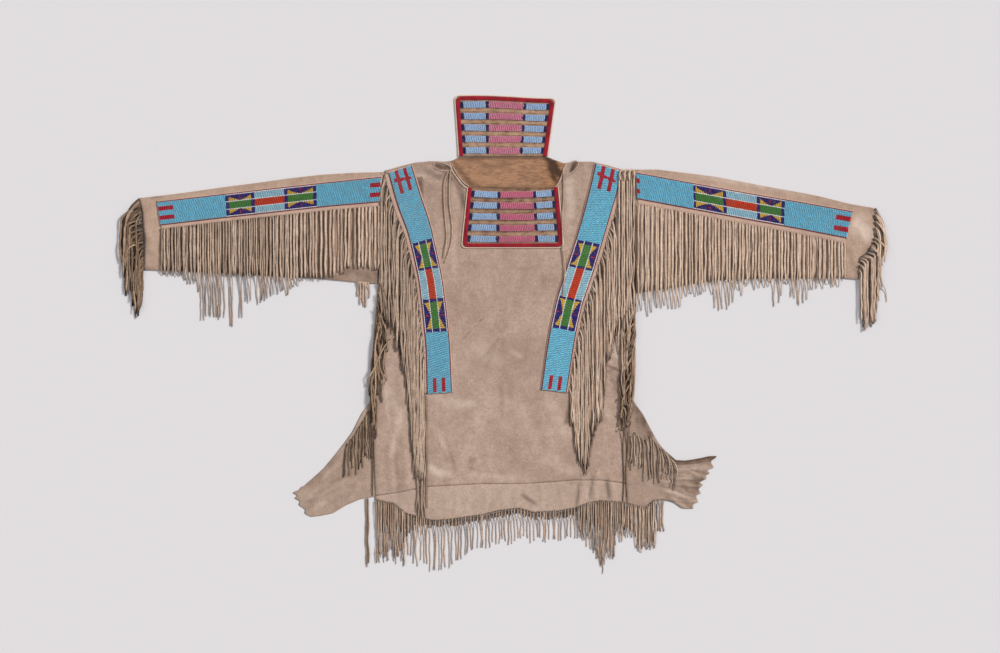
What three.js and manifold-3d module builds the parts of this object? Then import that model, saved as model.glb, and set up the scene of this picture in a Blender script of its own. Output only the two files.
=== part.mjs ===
// A beaded buckskin war shirt, laid flat on its back with its sleeves spread.
//
// Two whole hides make the body, one behind the other, and each sleeve is a hide folded along its upper
// edge. Beaded strips lie over the shoulders and along the sleeves, a beaded flap hangs at each side of the
// neck, and cut-hide fringe hangs from strips, cuffs, sides, leg flaps and hem.
//
// Millimetres. +X is across the shirt, +Y runs up to the neck, +Z is up from the surface that it lies on.

import * as THREE from "three";
import { mergeVertices } from "three/addons/utils/BufferGeometryUtils.js";
import Module from "manifold-3d";

const wasm = await Module();
wasm.setup();

// ---------------------------------------------------------------- driving sizes

const HIDE = 1.5; // thickness of the tanned hide
const SEAM = 0.3; // what parts two pieces at a seam, or one that lies on another
const PUFF = 1.1; // how far the front stands off the back, away from its seams
const SAG = 0.6; // height at which cloth and fringe end over the bare surface
const SLEEVE_EDGE = 3.6; // a flattened sleeve's height at its fold and its seam
const SLEEVE_CROWN = 6.4; // and along its middle
const BEADS = 1.1; // height of the stitched beads over their hide
const STRIP_MARGIN = 4; // bare hide beside the beads of a strip
const BORDER_WIDTH = 11; // bound edge of a neck flap
const BORDER_RISE = 1.3; // and its height over the flap
const ROW_RISE = 0.8; // height of a row of beads on a neck flap
const LOCK_WIDTH = 4.6; // one lock of cut fringe
const LOCK_THICK = 1.6;
const LOCK_STEP = 105; // length of a straight stretch of a lock
const LOCK_DROP = 16; // length in which a lock comes down from the cloth's rim
const BACKING_WIDTH = 8; // uncut edge that the locks hang from
const BACKING_THICK = 2;
const TIE_WIDTH = 3; // rolled thong of a neck tie
const TIE_SIDES = 8;

// ---------------------------------------------------------------- tables and curves

/** A table with named columns: each row of numbers becomes an object. */
const table = (columns, ...rows) => {
  const names = columns.split(" ");
  return rows.map((row) => Object.fromEntries(names.map((name, i) => [name, row[i]])));
};

const mix = (a, b, t) => a + (b - a) * t;
const limit = (t, low, high) => Math.min(high, Math.max(low, t));

/** A soft step from 0 to 1. */
const ease = (t) => {
  const c = limit(t, 0, 1);
  return c * c * (3 - 2 * c);
};

/** The value in one column of a table where another column holds t, on straight lines between rows. */
function read(rows, along, column, t) {
  const rising = rows[0][along] < rows[rows.length - 1][along];
  const list = rising ? rows : [...rows].reverse();
  let i = 1;
  while (i < list.length - 1 && list[i][along] < t) i += 1;
  const [a, b] = [list[i - 1], list[i]];
  return mix(a[column], b[column], limit((t - a[along]) / (b[along] - a[along]), 0, 1));
}

// ---------------------------------------------------------------- outlines of the hides

// Both hides share the straight armhole; below it the sides draw in to the waist.
const frontSides = table("y left right",
  [386, -248.9, 276.8], [109, -266, 289], [12, -274, 285], [-74, -281, 281], [-139, -281, 278],
  [-225, -276, 274], [-332, -272, 269], [-410, -270, 268]);

// Shoulders and the scooped neck.
const frontTop = table("x y",
  [-250, 355], [-218, 364], [-186, 372], [-154, 375], [-121, 374], [-106, 370], [-96, 349], [-85, 332],
  [-74, 319], [-46, 314], [18, 311], [83, 314], [119, 320], [128, 339], [134, 360], [143, 369],
  [160, 374], [195, 374], [229, 366], [263, 356], [278, 353]);

// Where the hem band is sewn on, and its own wandering lower edge.
const hemSeam = table("x y",
  [-272, -345], [-223, -338], [-160, -325], [-46, -319], [40, -319], [104, -315], [158, -311],
  [212, -311], [253, -316], [269, -319]);
const hemEdge = table("x y",
  [-272, -354], [-231, -362], [-207, -382], [-175, -392], [-145, -399], [-102, -395], [-46, -387],
  [-3, -377], [40, -372], [68, -381], [126, -378], [158, -372], [184, -362], [212, -356], [269, -360]);

// The back keeps the animal's hind legs as two flaps.
const backSides = table("y left right",
  [386, -248.9, 276.8], [109, -266, 289], [12, -274, 289], [-74, -281, 289], [-143, -284, 285],
  [-169, -302, 304], [-207, -321, 324], [-233, -340, 339], [-250, -353, 354], [-266, -366, 369],
  [-269, -369, 461], [-285, -382, 453], [-298, -394, 446], [-320, -419, 431], [-336, -448, 427],
  [-349, -444, 423], [-364, -435, 417], [-379, -425, 410], [-390, -416, 405]);
const backTop = table("x y",
  [-250, 355], [-218, 364], [-186, 372], [-154, 375], [-121, 374], [-104, 377], [-91, 384], [1, 385],
  [96, 385], [117, 377], [134, 371], [160, 374], [195, 374], [229, 366], [263, 356], [278, 353]);
const backEdge = table("x y",
  [-416, -390], [-390, -388], [-362, -382], [-332, -364], [-304, -352], [-274, -347], [-218, -354],
  [-3, -360], [212, -354], [276, -362], [309, -372], [328, -355], [343, -352], [369, -358],
  [386, -371], [413, -373]);
const PINKING = 5; // depth of the pinked ends of the leg flaps
const pinkedBelow = { left: -325, right: -268 };

/** Shares from side to side, 0 to 1, at which a table's points lie across a hide. */
const sharesOf = (edge, sides) => edge.map(({ x, y }) => {
  const left = read(sides, "y", "left", y);
  return { y, share: limit((x - left) / (read(sides, "y", "right", y) - left), 0, 1) };
});

/** A hide between two sides, an upper and a lower edge: a point for each share across and up. */
function hide({ sides, top, bottom, gapAbove = 0 }) {
  const topShares = sharesOf(top, sides);
  const bottomShares = sharesOf(bottom, sides);
  const left = (y) => read(sides, "y", "left", y);
  const right = (y) => read(sides, "y", "right", y);
  return {
    left,
    right,
    shares: [...topShares, ...bottomShares].map(({ share }) => share),
    point(u, v) {
      const low = read(bottomShares, "share", "y", u);
      const high = read(topShares, "share", "y", u) - gapAbove;
      const y = mix(low, high, v);
      return [mix(left(y), right(y), u), y];
    },
    /** How far a point lies inside the outline, less than 0 outside. */
    inside(x, y) {
      return Math.min(x - left(y), right(y) - x, read(top, "x", "y", x) - y, y - read(bottom, "x", "y", x));
    },
  };
}

const back = hide({ sides: backSides, top: backTop, bottom: backEdge });
const front = hide({ sides: frontSides, top: frontTop, bottom: hemSeam });
const hem = hide({ sides: frontSides, top: hemSeam, bottom: hemEdge, gapAbove: SEAM });
const frontAndHem = hide({ sides: frontSides, top: frontTop, bottom: hemEdge });

/** Sorted places from 0 to 1 taken from a list, none closer than a least gap. */
function stations(list, gap) {
  const kept = [0];
  for (const t of [...list].sort((a, b) => a - b)) {
    if (t - kept[kept.length - 1] >= gap && 1 - t >= gap) kept.push(t);
  }
  return [...kept, 1];
}

/** Places from 0 to 1, closer together near 0 as the power grows. */
const spread = (count, power = 1) => Array.from({ length: count + 1 }, (_, i) => (i / count) ** power);

// ---------------------------------------------------------------- heights of the hides

// Largest folds of the front: soft ridges, each from one point to another.
const folds = table("x1 y1 x2 y2 width rise",
  [-236, -205, -232, -335, 13, 1.5],
  [-208, -215, -206, -330, 12, 1.3],
  [-246, 60, -196, -50, 20, 1.2],
  [262, 70, 196, -40, 22, 1.2],
  [212, -53, 262, -84, 16, 1.4],
  [176, -300, 168, -372, 9, 1.4],
  [204, -296, 200, -352, 9, 1.5],
  [236, -300, 238, -356, 9, 1.3],
  [-30, 120, -90, -190, 40, 0.9],
  [70, 60, 110, -240, 45, 0.8]);

/** Height of one ridge: rounded across its width, fading to both ends. */
function ridge({ x1, y1, x2, y2, width, rise }, x, y) {
  const [dx, dy] = [x2 - x1, y2 - y1];
  const length = Math.hypot(dx, dy);
  const along = ((x - x1) * dx + (y - y1) * dy) / length ** 2;
  const aside = Math.abs((x - x1) * dy - (y - y1) * dx) / length;
  if (along < -0.2 || along > 1.2 || aside > width) return 0;
  const ends = ease((along + 0.2) / 0.35) * ease((1.2 - along) / 0.35);
  return rise * ends * (1 - (aside / width) ** 2) ** 2;
}

/** How far the front stands off what it lies on: puffed away from its seams, with its folds. */
function loft(x, y) {
  const puff = PUFF * ease((frontAndHem.inside(x, y) - 4) / 60);
  return folds.reduce((sum, fold) => sum + ridge(fold, x, y), puff);
}

const FLAP_WAVE = { left: 72, right: 44 }; // spacing of the waves across each leg flap
const FLAP_RISE = { left: 1.6, right: 3.2 };

/** Underside of the back: flat, but for waves in the flaps, outside the front. */
function backUnder(x, y) {
  const side = x < 0 ? "left" : "right";
  const out = side === "left" ? frontAndHem.left(y) - x : x - frontAndHem.right(y);
  const wave = 0.5 - 0.5 * Math.cos((2 * Math.PI * (out - 12)) / FLAP_WAVE[side]);
  return out > 12 ? FLAP_RISE[side] * ease((out - 12) / 40) * wave : 0;
}

// ---------------------------------------------------------------- solids

/** A closed solid from numbered points and faces. */
function solid(points, faces) {
  const geometry = new THREE.BufferGeometry();
  geometry.setAttribute("position", new THREE.Float32BufferAttribute(points.flat(), 3));
  geometry.setIndex(faces.flat());
  return geometry;
}

/** A sheet with a thickness: place(u, v) gives x, y and the heights of its two faces. */
function sheet(columns, rows, place) {
  const spots = columns.map((u, i) => rows.map((v, j) => place(u, v, i, j)));
  const [m, n] = [columns.length, rows.length];
  const points = [];
  for (const column of spots) for (const [x, y, , high] of column) points.push([x, y, high]);
  for (const column of spots) for (const [x, y, low] of column) points.push([x, y, low]);
  const upper = (i, j) => i * n + j;
  const lower = (i, j) => m * n + i * n + j;
  const faces = [];
  for (let i = 0; i < m - 1; i += 1) {
    for (let j = 0; j < n - 1; j += 1) {
      const corners = [[i, j], [i + 1, j], [i + 1, j + 1], [i, j + 1]];
      const [a, b, c, d] = corners.map(([p, q]) => upper(p, q));
      const [e, f, g, h] = corners.map(([p, q]) => lower(p, q));
      faces.push([a, b, c], [a, c, d], [e, g, f], [e, h, g]);
    }
  }
  const wall = (p, q) => {
    const [a, b] = [upper(...p), upper(...q)];
    const [c, d] = [lower(...p), lower(...q)];
    faces.push([a, c, d], [a, d, b]);
  };
  for (let i = 0; i < m - 1; i += 1) {
    wall([i, 0], [i + 1, 0]);
    wall([i + 1, n - 1], [i, n - 1]);
  }
  for (let j = 0; j < n - 1; j += 1) {
    wall([0, j + 1], [0, j]);
    wall([m - 1, j], [m - 1, j + 1]);
  }
  return solid(points, faces);
}

/** An open tube with a wall: outer(s, k) and inner(s, k) are points of ring s, k steps round. */
function tube(stretches, around, outer, inner) {
  const rings = stretches.length;
  const points = [];
  for (const make of [outer, inner]) {
    for (const s of stretches) for (let k = 0; k < around; k += 1) points.push(make(s, k / around));
  }
  const at = (layer, ring, k) => (layer * rings + ring) * around + (k % around);
  const faces = [];
  const quad = (a, b, c, d) => faces.push([a, b, c], [a, c, d]);
  for (let k = 0; k < around; k += 1) {
    for (let r = 0; r < rings - 1; r += 1) {
      quad(at(0, r, k), at(0, r + 1, k), at(0, r + 1, k + 1), at(0, r, k + 1));
      quad(at(1, r, k), at(1, r, k + 1), at(1, r + 1, k + 1), at(1, r + 1, k));
    }
    quad(at(0, 0, k), at(0, 0, k + 1), at(1, 0, k + 1), at(1, 0, k));
    quad(at(0, rings - 1, k), at(1, rings - 1, k), at(1, rings - 1, k + 1), at(0, rings - 1, k + 1));
  }
  return solid(points, faces);
}

/** One geometry as a manifold solid, and back. */
function toManifold(geometry) {
  const bare = geometry.clone();
  bare.deleteAttribute("normal");
  bare.deleteAttribute("uv");
  const merged = mergeVertices(bare, 1e-4);
  return new wasm.Manifold(new wasm.Mesh({
    numProp: 3,
    vertProperties: new Float32Array(merged.attributes.position.array),
    triVerts: new Uint32Array(merged.index.array),
  }));
}

function toGeometry(manifold) {
  const { vertProperties, triVerts } = manifold.getMesh();
  const geometry = new THREE.BufferGeometry();
  geometry.setAttribute("position", new THREE.BufferAttribute(new Float32Array(vertProperties), 3));
  geometry.setIndex(new THREE.BufferAttribute(new Uint32Array(triVerts), 1));
  return geometry;
}

// ---------------------------------------------------------------- what lies on what

// Height maps of what has been laid so far, the highest point over each small square: the hides alone,
// for what is sewn side by side on them, and everything.
const SQUARE = 2;
const field = { x: -860, y: -560, columns: 860, rows: 560 };
const hides = new Float32Array(field.columns * field.rows);
const everything = new Float32Array(field.columns * field.rows);
const squareOf = (x, y) => [Math.floor((x - field.x) / SQUARE), Math.floor((y - field.y) / SQUARE)];

/** Adds a solid's upper faces to height maps. */
function lay(geometry, maps) {
  const position = geometry.attributes.position;
  const index = geometry.index ? geometry.index.array : [...Array(position.count).keys()];
  for (let f = 0; f < index.length; f += 3) {
    const [a, b, c] = [0, 1, 2].map((k) => new THREE.Vector3().fromBufferAttribute(position, index[f + k]));
    const area = (b.x - a.x) * (c.y - a.y) - (c.x - a.x) * (b.y - a.y);
    if (area <= 1e-6) continue;
    const slack = SQUARE / Math.sqrt(area);
    const [i0, j0] = squareOf(Math.min(a.x, b.x, c.x), Math.min(a.y, b.y, c.y));
    const [i1, j1] = squareOf(Math.max(a.x, b.x, c.x), Math.max(a.y, b.y, c.y));
    for (let i = i0; i <= i1; i += 1) {
      for (let j = j0; j <= j1; j += 1) {
        const x = field.x + (i + 0.5) * SQUARE;
        const y = field.y + (j + 0.5) * SQUARE;
        const s = ((x - a.x) * (c.y - a.y) - (c.x - a.x) * (y - a.y)) / area;
        const t = ((b.x - a.x) * (y - a.y) - (x - a.x) * (b.y - a.y)) / area;
        if (s < -slack || t < -slack || s + t > 1 + slack) continue;
        const z = limit(a.z + s * (b.z - a.z) + t * (c.z - a.z), 0, Math.max(a.z, b.z, c.z));
        const square = i * field.rows + j;
        for (const map of maps) map[square] = Math.max(map[square], z);
      }
    }
  }
}

/** The highest point laid so far within a reach of the straight line between two points. */
function highest([x1, y1], [x2, y2], reach, map) {
  const [i0, j0] = squareOf(Math.min(x1, x2) - reach, Math.min(y1, y2) - reach);
  const [i1, j1] = squareOf(Math.max(x1, x2) + reach, Math.max(y1, y2) + reach);
  const length2 = Math.max(1e-9, (x2 - x1) ** 2 + (y2 - y1) ** 2);
  let top = 0;
  for (let i = i0; i <= i1; i += 1) {
    for (let j = j0; j <= j1; j += 1) {
      const z = map[i * field.rows + j];
      if (z <= top) continue;
      const [x, y] = [field.x + (i + 0.5) * SQUARE, field.y + (j + 0.5) * SQUARE];
      const t = limit(((x - x1) * (x2 - x1) + (y - y1) * (y2 - y1)) / length2, 0, 1);
      if (Math.hypot(x - mix(x1, x2, t), y - mix(y1, y2, t)) <= reach) top = z;
    }
  }
  return top;
}

/** Height at which the underside of something laid here clears all below it within a reach. */
const seat = (x, y, reach, map = hides) => Math.max(SAG, highest([x, y], [x, y], reach, map) + SEAM);

// ---------------------------------------------------------------- materials and the group

const group = new THREE.Group();
const material = (color, roughness) => new THREE.MeshStandardMaterial({ color, roughness, metalness: 0 });
const buckskin = material(0xc3ab95, 0.95);
const fringeHide = material(0xb09a84, 0.95);
const beadwork = material(0x6fc0da, 0.4);
const flapBeads = material(0xa5476b, 0.4);
const thong = material(0x8d7864, 0.9);

function add(name, geometry, finish) {
  const mesh = new THREE.Mesh(geometry, finish);
  mesh.name = name;
  group.add(mesh);
  lay(geometry, finish === buckskin ? [hides, everything] : [everything]);
}

// ---------------------------------------------------------------- body

const BACK_ROWS = 17;
const pinked = (u, y, j) => (j % 2 === 0 ? 0 : Math.sign(u - 0.5)) * -PINKING
  * ((u === 0 && y < pinkedBelow.left) || (u === 1 && y < pinkedBelow.right) ? 1 : 0);

add("back_panel", sheet(stations(back.shares, 0.03), spread(BACK_ROWS, 1.5), (u, v, i, j) => {
  const [x, y] = back.point(u, v);
  const under = backUnder(x, y);
  return [x + pinked(u, y, j), y, under, under + HIDE];
}), buckskin);

const frontColumns = stations([...front.shares, ...hem.shares], 0.026);
const FRONT_ROWS = 14;
const CELL = 50; // longest step between the points of a panel

/** One of the front's two pieces, seated on the back. */
const frontPiece = (piece, rows) => sheet(frontColumns, spread(rows), (u, v) => {
  const [x, y] = piece.point(u, v);
  const under = seat(x, y, CELL) + loft(x, y);
  return [x, y, under, under + HIDE];
});
const frontSheets = { front_panel: frontPiece(front, FRONT_ROWS), hem_band: frontPiece(hem, 2) };
for (const [name, geometry] of Object.entries(frontSheets)) add(name, geometry, buckskin);

// ---------------------------------------------------------------- sleeves

const sleeves = {
  left: {
    edges: table("x top bottom",
      [-782, 295, 142], [-734, 300, 140], [-665, 309, 138], [-597, 319, 134], [-528, 328, 131],
      [-459, 338, 126], [-390, 346, 123], [-326, 350, 117], [-251, 352, 111]),
    cuff: table("y x", [300, -782], [266, -772], [225, -769], [209, -766], [130, -770]),
    arm: (y) => back.left(y) - 2 * SEAM,
    ends: [-776, -258],
  },
  right: {
    edges: table("x top bottom",
      [281, 357, 91], [341, 357, 99], [405, 349, 110], [459, 342, 118], [521, 330, 122], [582, 318, 124],
      [642, 307, 124], [685, 298, 124], [743, 283, 125], [804, 272, 119]),
    cuff: table("y x", [285, 798], [250, 804], [201, 800], [175, 784], [169, 773], [110, 766]),
    arm: (y) => back.right(y) + 2 * SEAM,
    ends: [285, 790],
  },
};
const SLEEVE_RINGS = 11;
const SLEEVE_AROUND = 12;

/** Height of a flattened sleeve's upper side, from -1 at its seam to 1 at its fold. */
const crown = (across) => mix(SLEEVE_CROWN, SLEEVE_EDGE, across ** 2);

for (const [side, { edges, cuff, arm, ends }] of Object.entries(sleeves)) {
  const ring = (inset) => (s, round) => {
    const x = mix(ends[0], ends[1], s);
    const across = Math.cos(2 * Math.PI * round);
    const [top, bottom] = ["top", "bottom"].map((edge) => read(edges, "x", edge, x));
    const y = (top + bottom) / 2 + ((top - bottom) / 2 - inset * 1.3) * across;
    const upper = round > 0.5 ? crown(across) - inset : inset;
    const z = Math.abs(across) > 0.999 ? SLEEVE_EDGE / 2 : upper;
    const cuffAt = read(cuff, "y", "x", y);
    return [side === "left" ? mix(cuffAt, arm(y), s) : mix(arm(y), cuffAt, s), y, z];
  };
  add(`sleeve_${side}`, tube(spread(SLEEVE_RINGS), SLEEVE_AROUND, ring(0), ring(HIDE)), buckskin);
}

// ---------------------------------------------------------------- beaded strips

// Each strip's two long edges, from one end to the other.
const strips = {
  shoulder_strip_left: table("x1 y1 x2 y2",
    [-246, 350, -191, 368], [-226, 277, -171, 302], [-204, 221, -150, 240], [-193, 177, -139, 190],
    [-180, 117, -125, 125], [-172, 43, -115, 48], [-165, -27, -108, -25], [-163, -127, -104, -123]),
  shoulder_strip_right: table("x1 y1 x2 y2",
    [200, 372, 261, 354], [191, 331, 253, 313], [173, 259, 232, 244], [155, 200, 216, 188],
    [137, 145, 199, 132], [117, 82, 177, 69], [103, 19, 163, 8], [94, -36, 154, -46], [83, -117, 142, -124]),
  sleeve_strip_left: table("x1 y1 x2 y2",
    [-734, 234, -742, 290], [-615, 248, -620, 304], [-497, 261, -500, 318], [-378, 274, -380, 331],
    [-260, 284, -257, 344]),
  sleeve_strip_right: table("x1 y1 x2 y2",
    [290, 291, 288, 353], [408, 269, 406, 331], [526, 247, 523, 310], [640, 226, 645, 289],
    [742, 206, 757, 269]),
};

const STRIP_REACH = 60;

for (const [name, edges] of Object.entries(strips)) {
  const rows = edges.map((edge, i) => ({ ...edge, t: i / (edges.length - 1) }));
  const width = Math.hypot(edges[0].x2 - edges[0].x1, edges[0].y2 - edges[0].y1);
  const [margin, beaded] = [STRIP_MARGIN / width, (STRIP_MARGIN + 1) / width];
  const across = [0, margin, beaded, 0.5, 1 - beaded, 1 - margin, 1];
  const steps = spread(edges.length - 1);
  const place = (s, t) => {
    const [x1, y1, x2, y2] = ["x1", "y1", "x2", "y2"].map((column) => read(rows, "t", column, t));
    const [x, y] = [mix(x1, x2, s), mix(y1, y2, s)];
    const under = seat(x, y, STRIP_REACH);
    const rise = s >= beaded && s <= 1 - beaded ? BEADS : 0;
    return [x, y, under, under + HIDE + rise];
  };
  const geometry = name.startsWith("sleeve")
    ? sheet(steps, across, (t, s) => place(s, t))
    : sheet(across, steps, (s, t) => place(s, 1 - t));
  add(name, geometry, beadwork);
}

// ---------------------------------------------------------------- neck flaps

const flapRows = { count: 5, first: 5.5, pitch: 24.6, height: 13.7 };
const FLAP_LENGTH = 129;
const CORNER = 9; // rounding of the free corners

// Corners of each flap: at the neck, then at its free end.
const neckFlaps = {
  neck_flap_front: { neck: [[-72, 318.5], [121, 320]], free: [[-85, 189.5], [133, 190]] },
  neck_flap_back: { neck: [[-91, 385.6], [98, 385.6]], free: [[-100, 514], [115, 511]] },
};

/** Heights over a flap: raised rows of beads, and a bound edge on its three free sides. */
function flapRise(u, v, border) {
  const down = v * FLAP_LENGTH;
  if (u <= border || u >= 1 - border || down > FLAP_LENGTH - BORDER_WIDTH) return BORDER_RISE;
  const inRow = (down - flapRows.first + 0.01) % flapRows.pitch;
  return down > flapRows.first - 0.02 && inRow <= flapRows.height + 0.02 ? ROW_RISE : 0;
}

for (const [name, { neck, free }] of Object.entries(neckFlaps)) {
  const width = neck[1][0] - neck[0][0];
  const border = BORDER_WIDTH / width;
  const columns = [0, border, border + 0.006, 0.5, 1 - border - 0.006, 1 - border, 1];
  const rows = [0];
  for (let i = 0; i < flapRows.count; i += 1) {
    const start = flapRows.first + i * flapRows.pitch;
    const gap = (flapRows.pitch - flapRows.height) / 2;
    rows.push(start, start + flapRows.height);
    if (i < flapRows.count - 1) rows.push(start + flapRows.height + gap);
  }
  rows.push(FLAP_LENGTH);
  const upward = free[0][1] > neck[0][1];
  const place = (u, v) => {
    const cut = CORNER * Math.max(0, v - 0.9) * 10 * (1 - ease(Math.min(u, 1 - u) / 0.03));
    const x = mix(mix(neck[0][0], neck[1][0], u), mix(free[0][0], free[1][0], u), v);
    const dip = name === "neck_flap_front" ? 5 * (1 - v) * Math.sin(Math.PI * u) : 0;
    const y = mix(mix(neck[0][1], neck[1][1], u), mix(free[0][1], free[1][1], u), v) - dip;
    const under = upward ? 0 : seat(x, y, CELL);
    return [x, y + (upward ? -cut : cut), under, under + HIDE + flapRise(u, v, border)];
  };
  const shares = rows.map((row) => row / FLAP_LENGTH);
  const geometry = upward
    ? sheet(columns, shares, place)
    : sheet(columns, shares.map((v) => 1 - v).reverse(), (u, v) => place(u, 1 - v));
  add(name, geometry, flapBeads);
}

// ---------------------------------------------------------------- fringe

/** Points evenly along a line, moved aside to the right of its direction. */
function along(line, count, aside = 0) {
  const lengths = line.slice(1).map(([x, y], i) => Math.hypot(x - line[i][0], y - line[i][1]));
  const total = lengths.reduce((a, b) => a + b, 0);
  return Array.from({ length: count }, (_, k) => {
    let rest = count === 1 ? 0 : (k / (count - 1)) * total;
    let i = 0;
    while (i < lengths.length - 1 && rest > lengths[i]) {
      rest -= lengths[i];
      i += 1;
    }
    const [[x1, y1], [x2, y2]] = [line[i], line[i + 1]];
    const t = limit(rest / lengths[i], 0, 1);
    const [dx, dy] = [(x2 - x1) / lengths[i], (y2 - y1) / lengths[i]];
    return [mix(x1, x2, t) + dy * aside, mix(y1, y2, t) - dx * aside];
  });
}

/** A flat bar along points [x, y, underside], as wide as asked, narrower at its end. */
function bar(points, width, thick, taper = 1) {
  const last = points.length - 1;
  return sheet([0, 1], points.map((_, i) => i), (side, i) => {
    const [x, y, under] = points[i];
    const [[xa, ya], [xb, yb]] = [points[Math.max(0, i - 1)], points[Math.min(last, i + 1)]];
    const length = Math.hypot(xb - xa, yb - ya);
    const half = (width / 2) * (i === last ? taper : 1) * (side === 0 ? -1 : 1);
    return [x + ((yb - ya) / length) * half, y - ((xb - xa) / length) * half, under, under + thick];
  });
}

/** The path of one lock: from its root to its column, straight down, and off the cloth's rim to its end. */
function hang([x, y], column, end, map) {
  const start = y - Math.max(9, 1.2 * Math.abs(column - x));
  let rim = start;
  while (rim > end && highest([column, rim], [column, rim], LOCK_WIDTH, map) > 0) rim -= SQUARE;
  const leaves = rim < start && rim > end + LOCK_WIDTH;
  const bends = leaves ? [start, rim, Math.max(rim - LOCK_DROP, end), end] : [start, end];
  const path = [[x, y], [column, start]];
  bends.slice(1).forEach((to, i) => {
    const from = bends[i];
    const pieces = from > to ? Math.max(1, Math.round((from - to) / LOCK_STEP)) : 0;
    for (let k = 1; k <= pieces; k += 1) path.push([column, mix(from, to, k / pieces)]);
  });
  return path;
}

/** A backing with its locks, all one solid, laid on what is below. */
function fringe(name, { roots, columns = roots.map(([x]) => x), end, width = LOCK_WIDTH, map = hides }) {
  const spacing = Math.hypot(roots[1][0] - roots[0][0], roots[1][1] - roots[0][1]);
  const [first, last] = [roots[0], roots[roots.length - 1]];
  const beyond = ([x, y], [x2, y2]) => {
    const length = Math.hypot(x - x2, y - y2);
    return [x + ((x - x2) / length) * width, y + ((y - y2) / length) * width];
  };
  const line = [beyond(first, roots[1]), ...roots, beyond(last, roots[roots.length - 2])];
  const paths = roots.map((root, i) => hang(root, columns[i], end(columns[i], i), map));
  const leaving = paths.map(([root, next]) => highest(root, next, width / 2 + 2, map) + SEAM);
  const backing = line.map(([x, y], k) => {
    const root = limit(k - 1, 0, roots.length - 1);
    return [x, y, Math.max(seat(x, y, spacing + BACKING_WIDTH / 2, map), leaving[root])];
  });
  const parts = [toManifold(bar(backing, BACKING_WIDTH, BACKING_THICK))];
  paths.forEach((path, i) => {
    const clear = path.slice(1).map((point, k) => highest(path[k], point, width / 2 + 2, map) + SEAM);
    const points = path.map(([x, y], k) => {
      const under = Math.max(SAG, clear[k - 1] ?? 0, clear[k] ?? 0);
      return [x, y, k === 0 ? backing[i + 1][2] + 0.2 : under];
    });
    parts.push(toManifold(bar(points, width, LOCK_THICK, 0.6)));
  });
  const whole = parts.reduce((sum, part) => sum.add(part));
  add(name, toGeometry(whole), fringeHide);
}

const edgeOf = (name, column) => strips[name].map((row) => [row[`x${column}`], row[`y${column}`]]);
const BESIDE = SEAM + BACKING_WIDTH / 2 + 0.3;
const endAt = (rows) => (x) => read(rows, "x", "end", x);

const sleeveEnds = {
  left: table("x end",
    [-734, 143], [-700, 137], [-665, 109], [-648, 76], [-631, 44], [-614, 92], [-597, 20], [-579, 30],
    [-562, 40], [-545, 76], [-528, 70], [-510, 89], [-476, 119], [-433, 130], [-390, 141], [-265, 145]),
  right: table("x end",
    [289, 98], [341, 76], [405, 98], [470, 63], [504, 74], [539, 126], [607, 104], [642, 70], [676, 96],
    [711, 104], [741, 124]),
};
for (const side of ["left", "right"]) {
  fringe(`sleeve_fringe_${side}`, {
    roots: along(edgeOf(`sleeve_strip_${side}`, 1), 32, BESIDE),
    end: endAt(sleeveEnds[side]),
  });
}

const shoulderEnds = {
  left: table("x end",
    [-243, 3], [-238, 27], [-226, -16], [-217, -59], [-208, -89], [-201, -152], [-197, -182], [-191, -257],
    [-185, -302], [-177, -310], [-160, -306]),
  right: table("x end",
    [143, -188], [151, -197], [162, -262], [173, -289], [181, -300], [188, -270], [197, -227], [207, -190],
    [216, -182], [235, -46], [244, 3]),
};
const NARROW = 3.2;
const shoulderRoots = {
  left: along(edgeOf("shoulder_strip_left", 1), 16, BESIDE + 1).slice(1),
  right: along(edgeOf("shoulder_strip_right", 2), 17, -BESIDE - 1).slice(1),
};
const shoulderColumns = { left: [-246, -168], right: [249, 147] };
for (const side of ["left", "right"]) {
  const roots = shoulderRoots[side];
  const [outer, inner] = shoulderColumns[side];
  const columns = roots.map(([x], i) => {
    const even = mix(outer, inner, i / (roots.length - 1));
    return side === "left" ? Math.min(even, x) : Math.max(even, x);
  });
  fringe(`shoulder_fringe_${side}`, { roots, columns, end: endAt(shoulderEnds[side]), width: NARROW });
}

// Each row is one lock of a cuff: where it leaves the cuff, the line it hangs on, and its end.
const cuffLocks = {
  left: table("root column end",
    [150, -777, 44], [167, -783, 46], [184, -789, 44], [201, -795, 52], [218, -801, 96], [235, -806, 112],
    [252, -811, 128], [269, -816, 136], [284, -821, 142]),
  right: table("root column end",
    [130, 774, 14], [147, 780, 8], [164, 786, 10], [181, 794, 6], [198, 806, 70], [215, 810, 98],
    [232, 814, 120], [249, 818, 124], [264, 822, 130]),
};
for (const side of ["left", "right"]) {
  const out = side === "left" ? -1 : 1;
  const rows = [...cuffLocks[side]].reverse();
  fringe(`cuff_fringe_${side}`, {
    roots: rows.map(({ root }) => [read(sleeves[side].cuff, "y", "x", root) + out * BESIDE, root]),
    columns: rows.map(({ column }) => column),
    end: (_, i) => rows[i].end,
    width: NARROW,
  });
}

// Side seams below the armholes, where the fringe falls over the front's left edge and off its right.
const sideYs = { left: [92, 62, 32, 2, -28, -58, -88], right: [84, 44, 4, -36] };
const sideColumns = { left: [-253, -258, -263, -267.5, -272, -276, -280], right: [304, 300, 296, 292.5] };
const sideEnds = { left: [-60, -84, -70, -118, -104, -136, -168], right: [-86, -120, -168, -190] };
for (const side of ["left", "right"]) {
  const edge = side === "left" ? (y) => front.left(y) + 5 : (y) => front.right(y) + 5.5;
  fringe(`side_fringe_${side}`, {
    roots: sideYs[side].map((y) => [side === "left" ? edge(y) : Math.max(edge(y), 289.5), y]),
    columns: sideColumns[side],
    end: (_, i) => sideEnds[side][i],
    width: NARROW,
  });
}

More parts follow.
